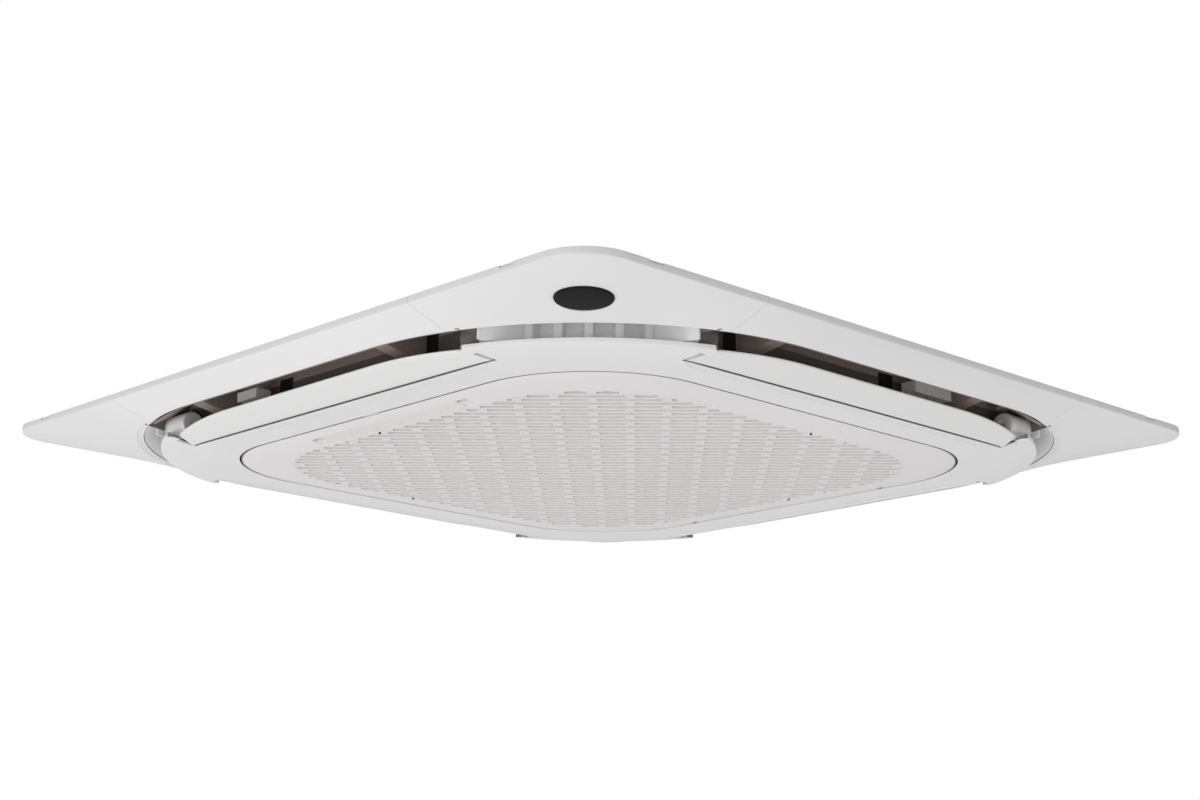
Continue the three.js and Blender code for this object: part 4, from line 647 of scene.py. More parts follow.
def build_panel_frame(sizes):
    """Flange with its covers' pockets, funnel and inner walls, deck, ribs, posts and arms."""
    seam = sizes.seam_position / MM
    frame_shape = Shape()
    for side in range(4):
        turn = on_side(side)
        for rays, section in (
            (side_rays(sizes, seam - SEAM_HALF), flange_section),
            (corner_rays(sizes, seam - 4), pocket_section),
            (side_rays(sizes, seam - 1), pocket_section),
        ):
            frame_shape.loft(skin_loops(rays, section), False, turn)
    half = opening_edge(sizes)
    frame_shape.ring([
        (half - 0.4, OPENING_CORNER - 0.4, -OPENING_DEPTH + SKIN + 0.4),
        (half - 2.6, OPENING_CORNER - 0.6, -OPENING_DEPTH + 4.6),
        (FUNNEL_HALF, FUNNEL_CORNER, PLATE_LEVEL),
        (FUNNEL_HALF + 2.5, FUNNEL_CORNER + 2.5, PLATE_LEVEL),
        (half + 1.4, OPENING_CORNER + 1.4, -OPENING_DEPTH + 5.4),
    ])
    frame_shape.ring([
        (WALL_HALF, WALL_CORNER, -FACE_DEPTH + 3.3), (WALL_HALF, WALL_CORNER, PLATE_LEVEL),
        (WALL_HALF - 2.5, WALL_CORNER - 2.5, PLATE_LEVEL),
        (WALL_HALF - 2.5, WALL_CORNER - 2.5, -FACE_DEPTH + 3.3),
    ])
    deck = Shape()
    deck.ring([
        (FUNNEL_HALF + 1, FUNNEL_CORNER + 1, PLATE_LEVEL - 2.5),
        (FUNNEL_HALF + 1, FUNNEL_CORNER + 1, PLATE_LEVEL),
        (WALL_HALF - 22, WALL_CORNER - 22, PLATE_LEVEL),
        (WALL_HALF - 22, WALL_CORNER - 22, PLATE_LEVEL - 2.5),
    ])
    holes = Shape()
    for side in range(4):
        holes.box(-OUTLET_HALF, OUTLET_HALF, -FUNNEL_HALF - 2.5, -WALL_HALF + 1.2,
                  0, PLATE_LEVEL + 1, on_side(side))
    deck_piece = make_object("deck", deck)
    cut(deck_piece, holes)
    for side in range(4):
        add_outlet_ends(frame_shape, on_side(side))
        add_corner_ribs(frame_shape, side)
    add_hinge_arms(frame_shape)
    for corner in range(4):
        stations = [(SCREW_POST_RADIUS, level) for level in (-16.6, 11.6)]
        frame_shape.upright(stations, SCREW_POST_PLACE, 0.0, at_corner(corner))
    frame_shape.absorb(deck_piece)
    return make_object("panel_frame_moulding", frame_shape)


def add_outlet_ends(shape, turn):
    """Slanted end walls of one outlet and the round bearing boss at the vane's fixed end."""
    near, mid, far = WALL_HALF - 1.2, 408.0, 430.0
    for hand in (-1, 1):
        def strip(start, end):
            return [
                (hand * wall_place(start), -start), (hand * wall_place(end), -end),
                (hand * wall_place(end, 2.5), -end), (hand * wall_place(start, 2.5), -start),
            ]
        shape.prism(strip(near, mid), -FACE_DEPTH + 10, PLATE_LEVEL, turn)
        shape.prism(strip(mid - 0.5, far), -OPENING_DEPTH + 9.0, PLATE_LEVEL - 2, turn)
    shape.bar([(-wall_place(HOUSING_DISTANCE, 1.0), HOUSING_RADIUS), (-232.2, HOUSING_RADIUS),
               (-230.9, 12.9), (-230.3, 11.9), (-230.3, 4.6), (-233.0, 4.6)],
              HOUSING_DISTANCE, HOUSING_LEVEL, turn, lean=-END_LEAN)


def add_hinge_arms(shape):
    """Two swan-neck arms on the +Y side that carry the grille's hinge pins."""
    profile = [
        (360.8, -15.6), (305.5, -15.6), (304.6, -16.2), (304.5, -36.7), (305.1, -38.4),
        (304.5, -39.9), (303.0, -40.5), (301.5, -39.9), (300.9, -38.4), (298.0, -34.4),
        (298.0, -11.8), (299.2, -10.6), (360.8, -10.6),
    ]
    for middle in (-HINGE_PLACE, HINGE_PLACE):
        shape.side_prism(profile, (middle - HINGE_ARM_HALF, middle + HINGE_ARM_HALF), on_side(2))


def build_corner_cover(sizes, corner):
    """Skin of one corner with its two rim notches, and the receiver's hole in the near one."""
    turn = on_side(corner)
    rays = corner_rays(sizes, sizes.seam_position / MM + SEAM_HALF)
    shape = Shape()
    shape.loft(skin_loops(rays, flange_section), False, turn)
    piece = make_object("corner_cover_moulding_" + CORNERS[corner], shape)
    rim = sizes.panel_half / MM
    south, east = (rim - place for place in NOTCHES_FROM_CORNER)
    tools = Shape()
    tools.box(south - NOTCH_HALF, south + NOTCH_HALF, -rim - 1, -rim + NOTCH_DEPTH,
              NOTCH_LOW, 1, turn)
    tools.box(rim - NOTCH_DEPTH, rim + 1, -east - NOTCH_HALF, -east + NOTCH_HALF,
              NOTCH_LOW, 1, turn)
    if corner == 0:
        radius = sizes.receiver_radius / MM + RECEIVER_CLEARANCE
        tools.upright([(radius, -8.0), (radius, 12.0)], 0, 0, receiver_place(), 64)
    cut(piece, tools)
    return piece


def receiver_place():
    middle = (RECEIVER_DIAGONAL, RECEIVER_SIDEWAYS, RECEIVER_LEVEL)
    return (at_corner(0) @ Matrix.Translation(middle) @ Matrix.Rotation(-RECEIVER_TILT, 4, "Y"))


def build_receiver(sizes):
    """Glossy window: a low dome with a turned-up edge and two legs behind it."""
    radius = sizes.receiver_radius / MM
    shape = Shape()
    dome = [(radius * math.sin(a), -0.9 + 0.9 * (1 - math.cos(a * 0.9)))
            for a in [i * RIGHT_ANGLE / 9 for i in range(1, 9)]]
    stations = [(0.05, -0.9)] + dome + [(radius, 0.5), (radius, 1.9), (radius - 0.3, 2.2),
                                        (radius - 3.0, 2.2), (0.05, 2.2)]
    shape.upright(stations, 0, 0, receiver_place(), 96)
    for y in (-14.0, 14.0):
        shape.upright([(1.5, 1.8), (1.5, 5.2)], 0, y, receiver_place(), 16)
    return make_object("receiver_lens", shape, 50.0)


def vane_bay_outline(sizes):
    """Plan outline, in a side's frame, of the bay that a vane and its ears leave in the bezel."""
    strip = sizes.strip_half / MM
    along, out, radius, lean = 243.5, 402.0, 6.2, math.radians(22)
    half = [(249.0, strip)]
    for step in range(9):
        angle = math.pi + lean - step * (lean + math.radians(95)) / 8
        half.append((along + radius * math.cos(angle), out + radius * math.sin(angle)))
    half.append((along, sizes.lip_half / MM + 20))
    return [(x, -y) for x, y in half] + [(-x, -y) for x, y in reversed(half)]


def build_bezel(sizes):
    """Lip, corner segments and strip in one ring, less the vanes' bays, hollows and chamfers; the
    bays' walls take painted shade.
    """
    lip = sizes.lip_half / MM
    strip = sizes.strip_half / MM
    inner = sizes.grille_half / MM + 1.9
    shape = Shape()
    shape.ring([
        (lip, LIP_CORNER, -31.5), (lip, LIP_CORNER, -35.0), (lip - 0.4, LIP_CORNER - 0.4, -35.9),
        (lip - 1.6, LIP_CORNER - 1.6, -36.3), (lip - 27, 236.0, -38.4), (strip, 183.0, -FACE_DEPTH),
        (inner + 0.5, 138.4, -FACE_DEPTH), (inner, 137.9, -FACE_DEPTH + 0.5),
        (inner + 0.9, 138.8, -FACE_DEPTH + 3), (384.0, 190.0, -FACE_DEPTH + 3),
        (lip - 3, LIP_CORNER - 3, -33.2), (lip - 3, LIP_CORNER - 3, -31.5),
    ], 28)
    piece = make_object("bezel_moulding", shape)
    bays, hollows, chamfers = Shape(), Shape(), Shape()
    for side in range(4):
        turn = on_side(side)
        # The bays' walls take the second finish, painted shade along the vanes' seams
        bays.prism(vane_bay_outline(sizes), -FACE_DEPTH - 1, 0, turn, 1)
        hollows.bar([(-249.0, 17.2), (249.0, 17.2)], PIVOT_DISTANCE, PIVOT_LEVEL, turn, 96)
        add_strip_chamfer(chamfers, strip, turn)
    cut(piece, bays)
    cut(piece, hollows)
    cut(piece, chamfers)
    return piece


def add_strip_chamfer(shape, strip, turn):
    """Wedge that leaves the bright sloping band beside a vane's inner edge."""
    start = strip - 11.5
    low = -FACE_DEPTH - 1
    ends = [(-249.6, strip + 1.2), (-222.0, start), (222.0, start), (249.6, strip + 1.2)]
    slope = 1.4 / (strip - start)
    points = [(t, -out, low) for t, out in ends]
    points += [(t, -out, -FACE_DEPTH + (out - start) * slope + 0.002) for t, out in ends]
    shape.loft([points[:4], points[4:]], False, turn)


def vane_outer_edge(sizes, along):
    """How far out a vane's bowed edge stands: straight in the middle, then an arc."""
    bow = 410.0
    past = max(abs(along) - 120.0, 0.0)
    return sizes.vane_outer / MM - bow + math.sqrt(bow ** 2 - past ** 2)


def build_vane(sizes, side):
    """Bowed blade with a lug and a pivot pin at each end and three thin ribs behind it."""
    inner = sizes.vane_inner / MM
    inner_end, outer_end, pin_radius, rib_half = 247.0, 237.0, 2.5, 0.9
    loops = []
    for step in range(VANE_STEPS + 1):
        share = -math.cos(math.pi * step / VANE_STEPS)
        outer = vane_outer_edge(sizes, outer_end * share)
        loops.append(vane_section(inner, outer, inner_end * share, outer_end * share))
    shape = Shape()
    turn = on_side(side)
    shape.loft(loops, False, turn)
    for hand in (-1, 1):
        shape.side_prism([
            (375.0, -37.2), (390.0, -34.0), (386.0, -26.5), (384.5, -23.0), (381.0, -21.5),
            (377.5, -23.0), (376.0, -26.5),
        ], (hand * 222.0, hand * 228.0), turn)
        pin = [(along, pin_radius) for along in sorted((hand * 227.0, hand * 235.0))]
        shape.bar(pin, PIVOT_DISTANCE, PIVOT_LEVEL, turn, 24)
    for along in (-110.0, 0.0, 110.0):
        shape.side_prism([
            (374.0, -37.4), (408.0, -29.6), (404.0, -27.8), (378.0, -33.2),
        ], (along - rib_half, along + rib_half), turn)
    return make_object("vane_blade_" + SIDES[side], shape, 35.0)


def vane_section(inner, outer, along_inner, along_outer):
    """Closed section of the thin blade from its inner to its outer edge."""
    width = outer - inner
    thick, middle_width, rise, belly = 2.6, 44.0, 10.0, 2.0
    bevel_rise, bevel_end = 1.9, 0.11
    spots = [0.0, 0.004, 0.02, bevel_end, 0.2, 0.4, 0.6, 0.8, 0.94, 0.98, 0.996, 1.0]
    swell = [0.5, 0.24, 0.08, 0.0, 0.0, 0.0, 0.0, 0.0, 0.0, 0.08, 0.24, 0.5]

    def level(share):
        bevel = bevel_rise * max(0.0, 1 - share / bevel_end)
        slope = share * width * rise / middle_width
        return -FACE_DEPTH + 0.05 + slope - belly * share * (1 - share) + bevel

    low = [(share, level(share) + thick * edge) for share, edge in zip(spots, swell)]
    high = [(share, max(level(share), level(bevel_end)) + thick * (1 - edge))
            for share, edge in zip(spots, swell)]
    loop = low + list(reversed(high))[1:-1]
    return [
        (along_inner + (along_outer - along_inner) * share, -(inner + width * share), z)
        for share, z in loop
    ]


def build_vane_motor(side):
    """Round housing of a vane's stepper motor with its socket and a seam round it."""
    shape = Shape()
    shape.bar([(wall_place(HOUSING_DISTANCE, -0.4), 13.3), (243.5, 13.4), (243.3, 12.9),
               (242.7, 12.9), (242.5, HOUSING_RADIUS), (232.5, HOUSING_RADIUS), (231.2, 12.9),
               (230.6, 11.8), (230.6, 6.0), (231.6, 5.6), (231.6, 2.9), (236.5, 2.9)],
              HOUSING_DISTANCE, HOUSING_LEVEL, on_side(side), lean=END_LEAN)
    return make_object("vane_motor_housing_" + SIDES[side], shape, 40.0)


def build_outlet_insert(sizes):
    """Foam lining of the outlets with struts, pale blocks and the gasket, and painted shade: black
    boxes for dark openings, dark lower bands, end walls and sleeves.
    """
    shape = Shape()
    wall = LINING_WALL
    skin = wall + LINING_SKIN
    strut_profile = [
        (skin, -19.0), (skin, 8.0), (FUNNEL_HALF - 3, 8.0), (FUNNEL_HALF + 10, -2.0),
        (FUNNEL_HALF + 8, -11.0), (wall + 14, -18.0),
    ]
    for side, foot in enumerate(BAND_FEET):
        turn = on_side(side)
        towards_near = 1.0 if side in (0, 3) else -1.0
        # The lowest band is in the dark finish, painted shade; the bands above it are brown
        for half, low, high, mark in (
            (LINING_HALF, foot, BAND_TOP, SHADE_DARK), (LINING_HALF, BAND_TOP, LINING_TOP, BROWN),
            (DUCT_HALF, LINING_TOP, GASKET_TOP, BROWN),
        ):
            shape.box(-half, half, -skin, -wall, low, high, turn, mark)
        for strut in STRUTS[side]:
            start, end = (strut + reach * towards_near for reach in (STRUT_HALF, 26))
            # Black box beside each strut: painted shade for a dark opening
            shape.box(start, end, -wall - 2.0, -skin, *SHADE_BOX_LEVELS, turn, SHADE_BLACK)
            shape.side_prism(strut_profile, (strut - STRUT_HALF, strut + STRUT_HALF), turn)
        if side < len(BLOCKS):
            ends, levels, shade_box = BLOCKS[side]
            # Black box beside the pale block: painted shade for a dark opening
            shape.box(*shade_box, -wall - 2.0, -skin, *SHADE_BOX_LEVELS, turn, SHADE_BLACK)
            shape.box(*ends, -wall - 30.0, -wall - 12.0, *levels, turn, PALE)
            # Sleeve round the motor housing in the dark finish: painted shade
            sleeve = [(towards_near * along, HOUSING_RADIUS + 0.4) for along in (230.1, 254.0)]
            shape.bar(sleeve, HOUSING_DISTANCE, HOUSING_LEVEL, turn, mark=SHADE_DARK)
        # Lining of the slanted end walls in the dark finish: painted shade
        for hand in (-1, 1):
            outline = [(hand * wall_place(out, inset), -out) for out, inset in
                       ((wall, -1.6), (428.0, -1.6), (428.0, -0.6), (wall, -0.6))]
            shape.prism(outline, END_LINING_FOOT, LINING_TOP, turn, SHADE_DARK)
        shape.loft(liner_loops(sizes), False, turn)
    shape.absorb(build_gasket())
    return make_object("outlet_lining", shape)


def build_gasket():
    """Flat foam ring between the panel's deck and the body, open at the four ducts."""
    gasket = Shape()
    gasket.ring([
        (FUNNEL_HALF + 6, FUNNEL_CORNER + 6, PLATE_LEVEL),
        (FUNNEL_HALF + 6, FUNNEL_CORNER + 6, GASKET_TOP),
        (WALL_HALF - 6, WALL_CORNER - 6, GASKET_TOP),
        (WALL_HALF - 6, WALL_CORNER - 6, PLATE_LEVEL),
    ])
    piece = make_object("gasket", gasket)
    holes = Shape()
    for side in range(4):
        holes.box(-DUCT_HALF, DUCT_HALF, -FUNNEL_HALF + 3, -LINING_WALL - 2.4,
                  PLATE_LEVEL - 1, GASKET_TOP + 1, on_side(side))
    cut(piece, holes)
    return piece


def liner_loops(sizes):
    """Outer lining of an outlet, following the funnel between the end walls."""
    half = opening_edge(sizes)
    section = ((-22.0, 0.5), (8.0, 0.5), (GASKET_TOP, 0.5),
               (GASKET_TOP, 3.0), (8.0, 3.0), (-22.0, 1.6))
    loops = []
    for step in range(2 * LINER_STEPS + 1):
        share = step / LINER_STEPS - 1
        loop = []
        for level, skin in section:
            drop = min(max((PLATE_LEVEL - level) / (OPENING_DEPTH + PLATE_LEVEL), 0.0), 1.0)
            width = FUNNEL_HALF + (half - FUNNEL_HALF) * drop
            radius = FUNNEL_CORNER + (OPENING_CORNER - FUNNEL_CORNER) * drop
            along = wall_place(width, -1.0) * share
            past = max(abs(along) - (width - radius), 0.0)
            out = width - radius + math.sqrt(radius ** 2 - past ** 2) - skin
            loop.append((along, -out, level))
        loops.append(loop)
    return loops


# ---------------------------------------------------------------- intake grille


def slat_tree():
    """Geometry nodes: slats, bridges and slot ends that fill a rounded square."""
    length, number = "NodeSocketFloat", "NodeSocketInt"
    group = node_group("grille_slats", "GeometryNodeTree", [
        ("Zone Half", length, 0.282), ("Zone Radius", length, 0.134), ("Row Pitch", length, 0.014),
        ("Slot Height", length, 0.009), ("Bridge Pitch", length, 0.074),
        ("Bridge Width", length, 0.0097), ("Level", length, -0.044), ("Thickness", length, 0.0025),
        ("Rows Each Way", number, 24), ("Bridges Each Way", number, 5),
        ("Finish", "NodeSocketMaterial", None),
    ], [("Geometry", "NodeSocketGeometry")])
    # Metres that bars and plugs run on past a slot's end and a bridge keeps from it, and metres
    # that bridges and plugs are taller than their slot
    margin, overlap = 0.002, 0.0006
    tree = Tree(group)
    given = tree.add("NodeGroupInput").outputs
    leave = tree.add("NodeGroupOutput")
    rows = tree.math("MULTIPLY_ADD", given["Rows Each Way"], 2.0, 1.0)
    index = tree.add("GeometryNodeInputIndex").outputs[0]
    diamond = tree.math("MULTIPLY", tree.math("SUBTRACT", given["Zone Half"], given["Zone Radius"]),
                        math.sqrt(2))

    def half_length(distance, radius):
        """Half of a row's length inside the zone, at a distance from the middle."""
        off = tree.math("ABSOLUTE", distance)
        shift = tree.math("SUBTRACT", off, tree.math("MULTIPLY", radius, math.sqrt(0.5)))
        shift = tree.math("MINIMUM", tree.math("MAXIMUM", shift, 0.0), diamond)
        rest = tree.math("SUBTRACT", off, shift)
        square = tree.math("SUBTRACT", tree.math("MULTIPLY", radius, radius),
                           tree.math("MULTIPLY", rest, rest))
        root = tree.math("SQRT", tree.math("MAXIMUM", square, 0.0))
        return tree.math("ADD", tree.math("SUBTRACT", diamond, shift), root)

    def boxes(count, across, along, size):
        """Boxes on points; across and along are fields of the point's index."""
        spot = tree.add("ShaderNodeCombineXYZ", {"X": across, "Y": along, "Z": middle})
        points = tree.add("GeometryNodePoints", {"Count": count, "Position": spot.outputs[0]})
        scale = tree.add("ShaderNodeCombineXYZ", {"X": size[0], "Y": size[1], "Z": size[2]})
        cube = tree.add("GeometryNodeMeshCube", {"Size": (1.0, 1.0, 1.0)})
        return tree.add("GeometryNodeInstanceOnPoints", {
            "Points": points.outputs[0], "Instance": cube.outputs[0], "Scale": scale.outputs[0],
        })

    middle = tree.math("MULTIPLY_ADD", given["Thickness"], 0.5, given["Level"])
    bar_width = tree.math("SUBTRACT", given["Row Pitch"], given["Slot Height"])
    first = tree.math("MULTIPLY", given["Rows Each Way"], -1.0)

    bar_row = tree.math("SUBTRACT", tree.math("ADD", first, index), 0.5)
    bar_place = tree.math("MULTIPLY", bar_row, given["Row Pitch"])
    bar_length = tree.math("MULTIPLY_ADD", half_length(bar_place, given["Zone Radius"]), 2.0,
                           2 * margin)
    bars = boxes(tree.math("ADD", rows, 1.0), bar_place, 0.0,
                 (bar_width, bar_length, given["Thickness"]))

    across_count = tree.math("MULTIPLY_ADD", given["Bridges Each Way"], 2.0, 1.0)
    row = tree.math("ADD", first, tree.math("FLOOR", tree.math("DIVIDE", index, across_count)))
    column = tree.math("SUBTRACT", tree.math("MODULO", index, across_count),
                       given["Bridges Each Way"])
    odd = tree.math("ABSOLUTE", tree.math("MODULO", row, 2.0))
    staggered = tree.math("MULTIPLY_ADD", odd, 0.5, column)
    bridge_at = tree.math("MULTIPLY", staggered, given["Bridge Pitch"])
    row_at = tree.math("MULTIPLY", row, given["Row Pitch"])
    slot_radius = tree.math("MULTIPLY_ADD", given["Slot Height"], -0.5, given["Zone Radius"])
    slot_end = half_length(row_at, slot_radius)
    bridge_end = tree.math("ADD", tree.math("ABSOLUTE", bridge_at), margin)
    tall = tree.math("ADD", given["Slot Height"], overlap)
    bridges = boxes(tree.math("MULTIPLY", rows, across_count), row_at, bridge_at,
                    (tall, given["Bridge Width"], given["Thickness"]))
    tree.put(bridges.inputs["Selection"], tree.math("LESS_THAN", bridge_end, slot_end))

    end_row = tree.math("ADD", first, tree.math("FLOOR", tree.math("DIVIDE", index, 2.0)))
    hand = tree.math("MULTIPLY_ADD", tree.math("MODULO", index, 2.0), 2.0, -1.0)
    end_at = tree.math("MULTIPLY", end_row, given["Row Pitch"])
    start = half_length(end_at, slot_radius)
    nearer = tree.math("MULTIPLY_ADD", given["Slot Height"], -0.5, tree.math("ABSOLUTE", end_at))
    stop = tree.math("ADD", half_length(nearer, given["Zone Radius"]), margin)
    plug_at = tree.math("MULTIPLY", tree.math("MULTIPLY", tree.math("ADD", start, stop), 0.5), hand)
    plugs = boxes(tree.math("MULTIPLY", rows, 2.0), end_at, plug_at,
                  (tall, tree.math("SUBTRACT", stop, start), given["Thickness"]))

    joined = tree.add("GeometryNodeJoinGeometry")
    for part in (bars, bridges, plugs):
        tree.tree.links.new(part.outputs[0], joined.inputs[0])
    turned = tree.add("GeometryNodeTransform", {
        "Geometry": joined.outputs[0], "Rotation": (0.0, 0.0, -math.pi / 4),
    })
    real = tree.add("GeometryNodeRealizeInstances", {"Geometry": turned.outputs[0]})
    painted = tree.add("GeometryNodeSetMaterial", {
        "Geometry": real.outputs[0], "Material": given["Finish"],
    })
    tree.put(leave.inputs[0], painted.outputs[0])
    return group


def set_inputs(modifier, values):
    for item in modifier.node_group.interface.items_tree:
        if item.item_type == "SOCKET" and item.in_out == "INPUT" and item.name in values:
            modifier[item.identifier] = values[item.name]


def build_slats(sizes):
    piece = bpy.data.objects.new("slats", bpy.data.meshes.new("slats"))
    bpy.context.scene.collection.objects.link(piece)
    modifier = piece.modifiers.new("slats", "NODES")
    modifier.node_group = slat_tree()
    set_inputs(modifier, {
        "Zone Half": sizes.slot_zone_half, "Row Pitch": sizes.row_pitch,
        "Slot Height": sizes.slot_height, "Bridge Pitch": sizes.bridge_pitch,
        "Bridge Width": sizes.bridge_width, "Level": -0.04398, "Finish": FINISHES["grille_white"],
    })
    bake(piece)
    return piece


def build_grille(sizes):
    """Border with its latch bays and hinge notches, the slats, pads and a ring of painted shade in
    the seam.
    """
    half = sizes.grille_half / MM
    zone = sizes.slot_zone_half / MM
    shape = Shape()
    shape.ring([
        (zone - 0.1, 133.9, -41.5), (zone - 0.1, 133.9, -43.995), (zone + 1.6, 135.0, -43.99),
        (half - 14, 135.2, -41.35), (half - 2.4, 134.4, -40.1), (half - 1.0, 135.5, -39.65),
        (half - 0.2, 136.3, -38.9), (half, 136.5, -38.0), (half, 136.5, -28.0),
        (half - 2.5, 134.0, -28.0), (half - 2.5, 134.0, -37.3), (zone + 2.0, 135.0, -41.4),
    ], 28)
    piece = make_object("grille_border", shape)
    # Thin ring at the border's edge in the second finish: painted shade in the seam
    seam = Shape()
    seam.ring([
        (half - 1.1, 135.4, -39.7), (half + 0.3, 136.8, -39.7), (half + 0.3, 136.8, -38.0),
        (half - 1.1, 135.4, -38.0),
    ], mark=1)
    seam_shade_piece = make_object("grille_seam_shade", seam)
    tools = Shape()
    for hand in (-1, 1):
        latch = hand * LATCH_PLACE
        tools.box(latch - 8.3, latch + 8.3, -304.1, -284.5, -46, -34)
        tools.box(latch - 6.3, latch + 6.3, -half - 1, -half + 4, -37.4, -34.3)
        hinge = hand * HINGE_PLACE
        tools.box(hinge - 5, hinge + 5, 296, half + 1, -40.9, -20)
        for axis in (0, 1):
            tools.box(hand * 60 - 1.3, hand * 60 + 1.3, -half - 1, -half + 1.0, -41, -38.6,
                      on_side(axis))
    tools.box(-13, 13, -half - 1, -half + 2.2, -41, -37.4)
    cut(piece, tools)
    cut(seam_shade_piece, tools)
    whole = Shape()
    whole.absorb(piece)
    whole.absorb(build_slats(sizes))
    whole.absorb(seam_shade_piece, 1)
    hinge_pad = [(298, -40.4), (307, -39.8), (305, -35.4), (300.5, -35.4)]
    latch_pad = [(283, -42.6), (312, -39.8), (312, -37.5), (283, -37.5)]
    for hand in (-1, 1):
        for profile, middle, start, stop, side in ((hinge_pad, hand * HINGE_PLACE, 5, 10, 2),
                                                   (latch_pad, hand * LATCH_PLACE, 10, 15, 0)):
            for edge in (-1, 1):
                ends = (middle + edge * start, middle + edge * stop)
                whole.side_prism(profile, ends, on_side(side))
    return make_object("grille_moulding", whole)


# ---------------------------------------------------------------- stage


def build_stage():
    """Floor, ceiling with the body's hole, even world light and four soft lamps."""
    floor = Shape()
    floor.box(-30000, 30000, -30000, 30000, -4620, -4600)
    piece = make_object("floor", floor)
    piece.data.materials.append(plain_finish("floor_pale", (0.85, 0.85, 0.85)))
    mesh = bpy.data.meshes.new("ceiling")
    reach, hole, level = 2.5, 0.445, 0.0009
    corners = ((-1, -1), (1, -1), (1, 1), (-1, 1))
    points = [(x * half, y * half, level) for half in (reach, hole) for x, y in corners]
    mesh.from_pydata(points, [], [((i + 1) % 4, i, 4 + i, 4 + (i + 1) % 4) for i in range(4)])
    ceiling = bpy.data.objects.new("ceiling", mesh)
    bpy.context.scene.collection.objects.link(ceiling)
    mesh.materials.append(ceiling_finish())
    world = bpy.data.worlds.new("studio")
    bpy.context.scene.world = world
    world.use_nodes = True
    tree = Tree(world.node_tree)
    seen = tree.add("ShaderNodeLightPath").outputs["Is Camera Ray"]
    light = tree.add("ShaderNodeBackground", {"Color": (1.0, 1.0, 1.0, 1.0)})
    shed, backdrop = 0.78, 1.0
    tree.put(light.inputs["Strength"], tree.span(seen, shed, backdrop))
    tree.put(tree.add("ShaderNodeOutputWorld").inputs["Surface"], light.outputs[0])
    # Name, place in metres, width in metres and power in watts
    lamps = (
        ("key", (-1.6, -3.4, -2.6), 2.6, 44.0),
        ("front", (0.4, -4.2, -1.3), 1.8, 18.0),
        ("near", (2.2, -2.4, -0.95), 0.7, 6.5),
        ("fill", (3.2, -0.6, -2.2), 2.2, 11.0),
    )
    for name, place, size, power in lamps:
        lamp = bpy.data.lights.new(name, "AREA")
        lamp.size = size
        lamp.energy = power
        item = bpy.data.objects.new(name, lamp)
        item.location = place
        towards = Vector((0, 0, -0.02)) - Vector(place)
        item.rotation_euler = towards.to_track_quat("-Z", "Y").to_euler()
        bpy.context.scene.collection.objects.link(item)
    bpy.context.scene.view_settings.view_transform = "Standard"
    bpy.context.scene.view_settings.look = "None"


def plain_finish(name, colour):
    finish = bpy.data.materials.new(name)
    finish.use_nodes = True
    shader = finish.node_tree.nodes["Principled BSDF"]
    shader.inputs["Base Color"].default_value = (*colour, 1.0)
    shader.inputs["Roughness"].default_value = 0.9
    return finish


def ceiling_finish():
    """White from below, nothing from above, so that views from above show the body."""
    finish = bpy.data.materials.new("ceiling_white")
    finish.use_nodes = True
    tree = Tree(finish.node_tree)
    seen = tree.add("ShaderNodeLightPath").outputs["Is Camera Ray"]
    behind = tree.add("ShaderNodeNewGeometry").outputs["Backfacing"]
    matt = tree.add("ShaderNodeBsdfDiffuse", {"Color": (0.36, 0.36, 0.36, 1.0)})
    white = tree.add("ShaderNodeEmission", {"Color": (1.0, 1.0, 1.0, 1.0), "Strength": 1.0})
    clear = tree.add("ShaderNodeBsdfTransparent")
    lower = tree.add("ShaderNodeMixShader", {0: seen, 1: matt.outputs[0], 2: white.outputs[0]})
    both = tree.add("ShaderNodeMixShader", {0: behind, 1: lower.outputs[0], 2: clear.outputs[0]})
    tree.put(tree.add("ShaderNodeOutputMaterial").inputs["Surface"], both.outputs[0])
    return finish


def build_camera():
    """Camera at the photograph's place: below the panel, in front of the receiver's corner."""
    data = bpy.data.cameras.new("camera")
    data.sensor_fit = "HORIZONTAL"
    data.sensor_width = 36.0
    data.lens = 63.01
    data.clip_end = 200.0
    camera = bpy.data.objects.new("camera", data)
    bpy.context.scene.collection.objects.link(camera)
    pitch, yaw, roll = (math.radians(a) for a in (14.44, 46.094, 0.368))
    level = math.cos(pitch)
    ahead = Vector((-math.sin(yaw) * level, math.cos(yaw) * level, math.sin(pitch)))
    right = Vector((math.cos(yaw), math.sin(yaw), 0.0))
    up = right.cross(ahead)
    turned_right = right * math.cos(roll) + up * math.sin(roll)
    turned_up = up * math.cos(roll) - right * math.sin(roll)
    matrix = Matrix((turned_right, turned_up, -ahead)).transposed().to_4x4()
    matrix.translation = Vector((1.6624, -1.5976, -0.5581))
    camera.matrix_world = matrix
    bpy.context.scene.camera = camera


# ---------------------------------------------------------------- add-on


def length(label, description, default):
    return FloatProperty(name=label, description=description, default=default, unit="LENGTH")


def colour(label, description, default):
    return FloatVectorProperty(name=label, description=description, size=3, subtype="COLOR",
                               default=default)


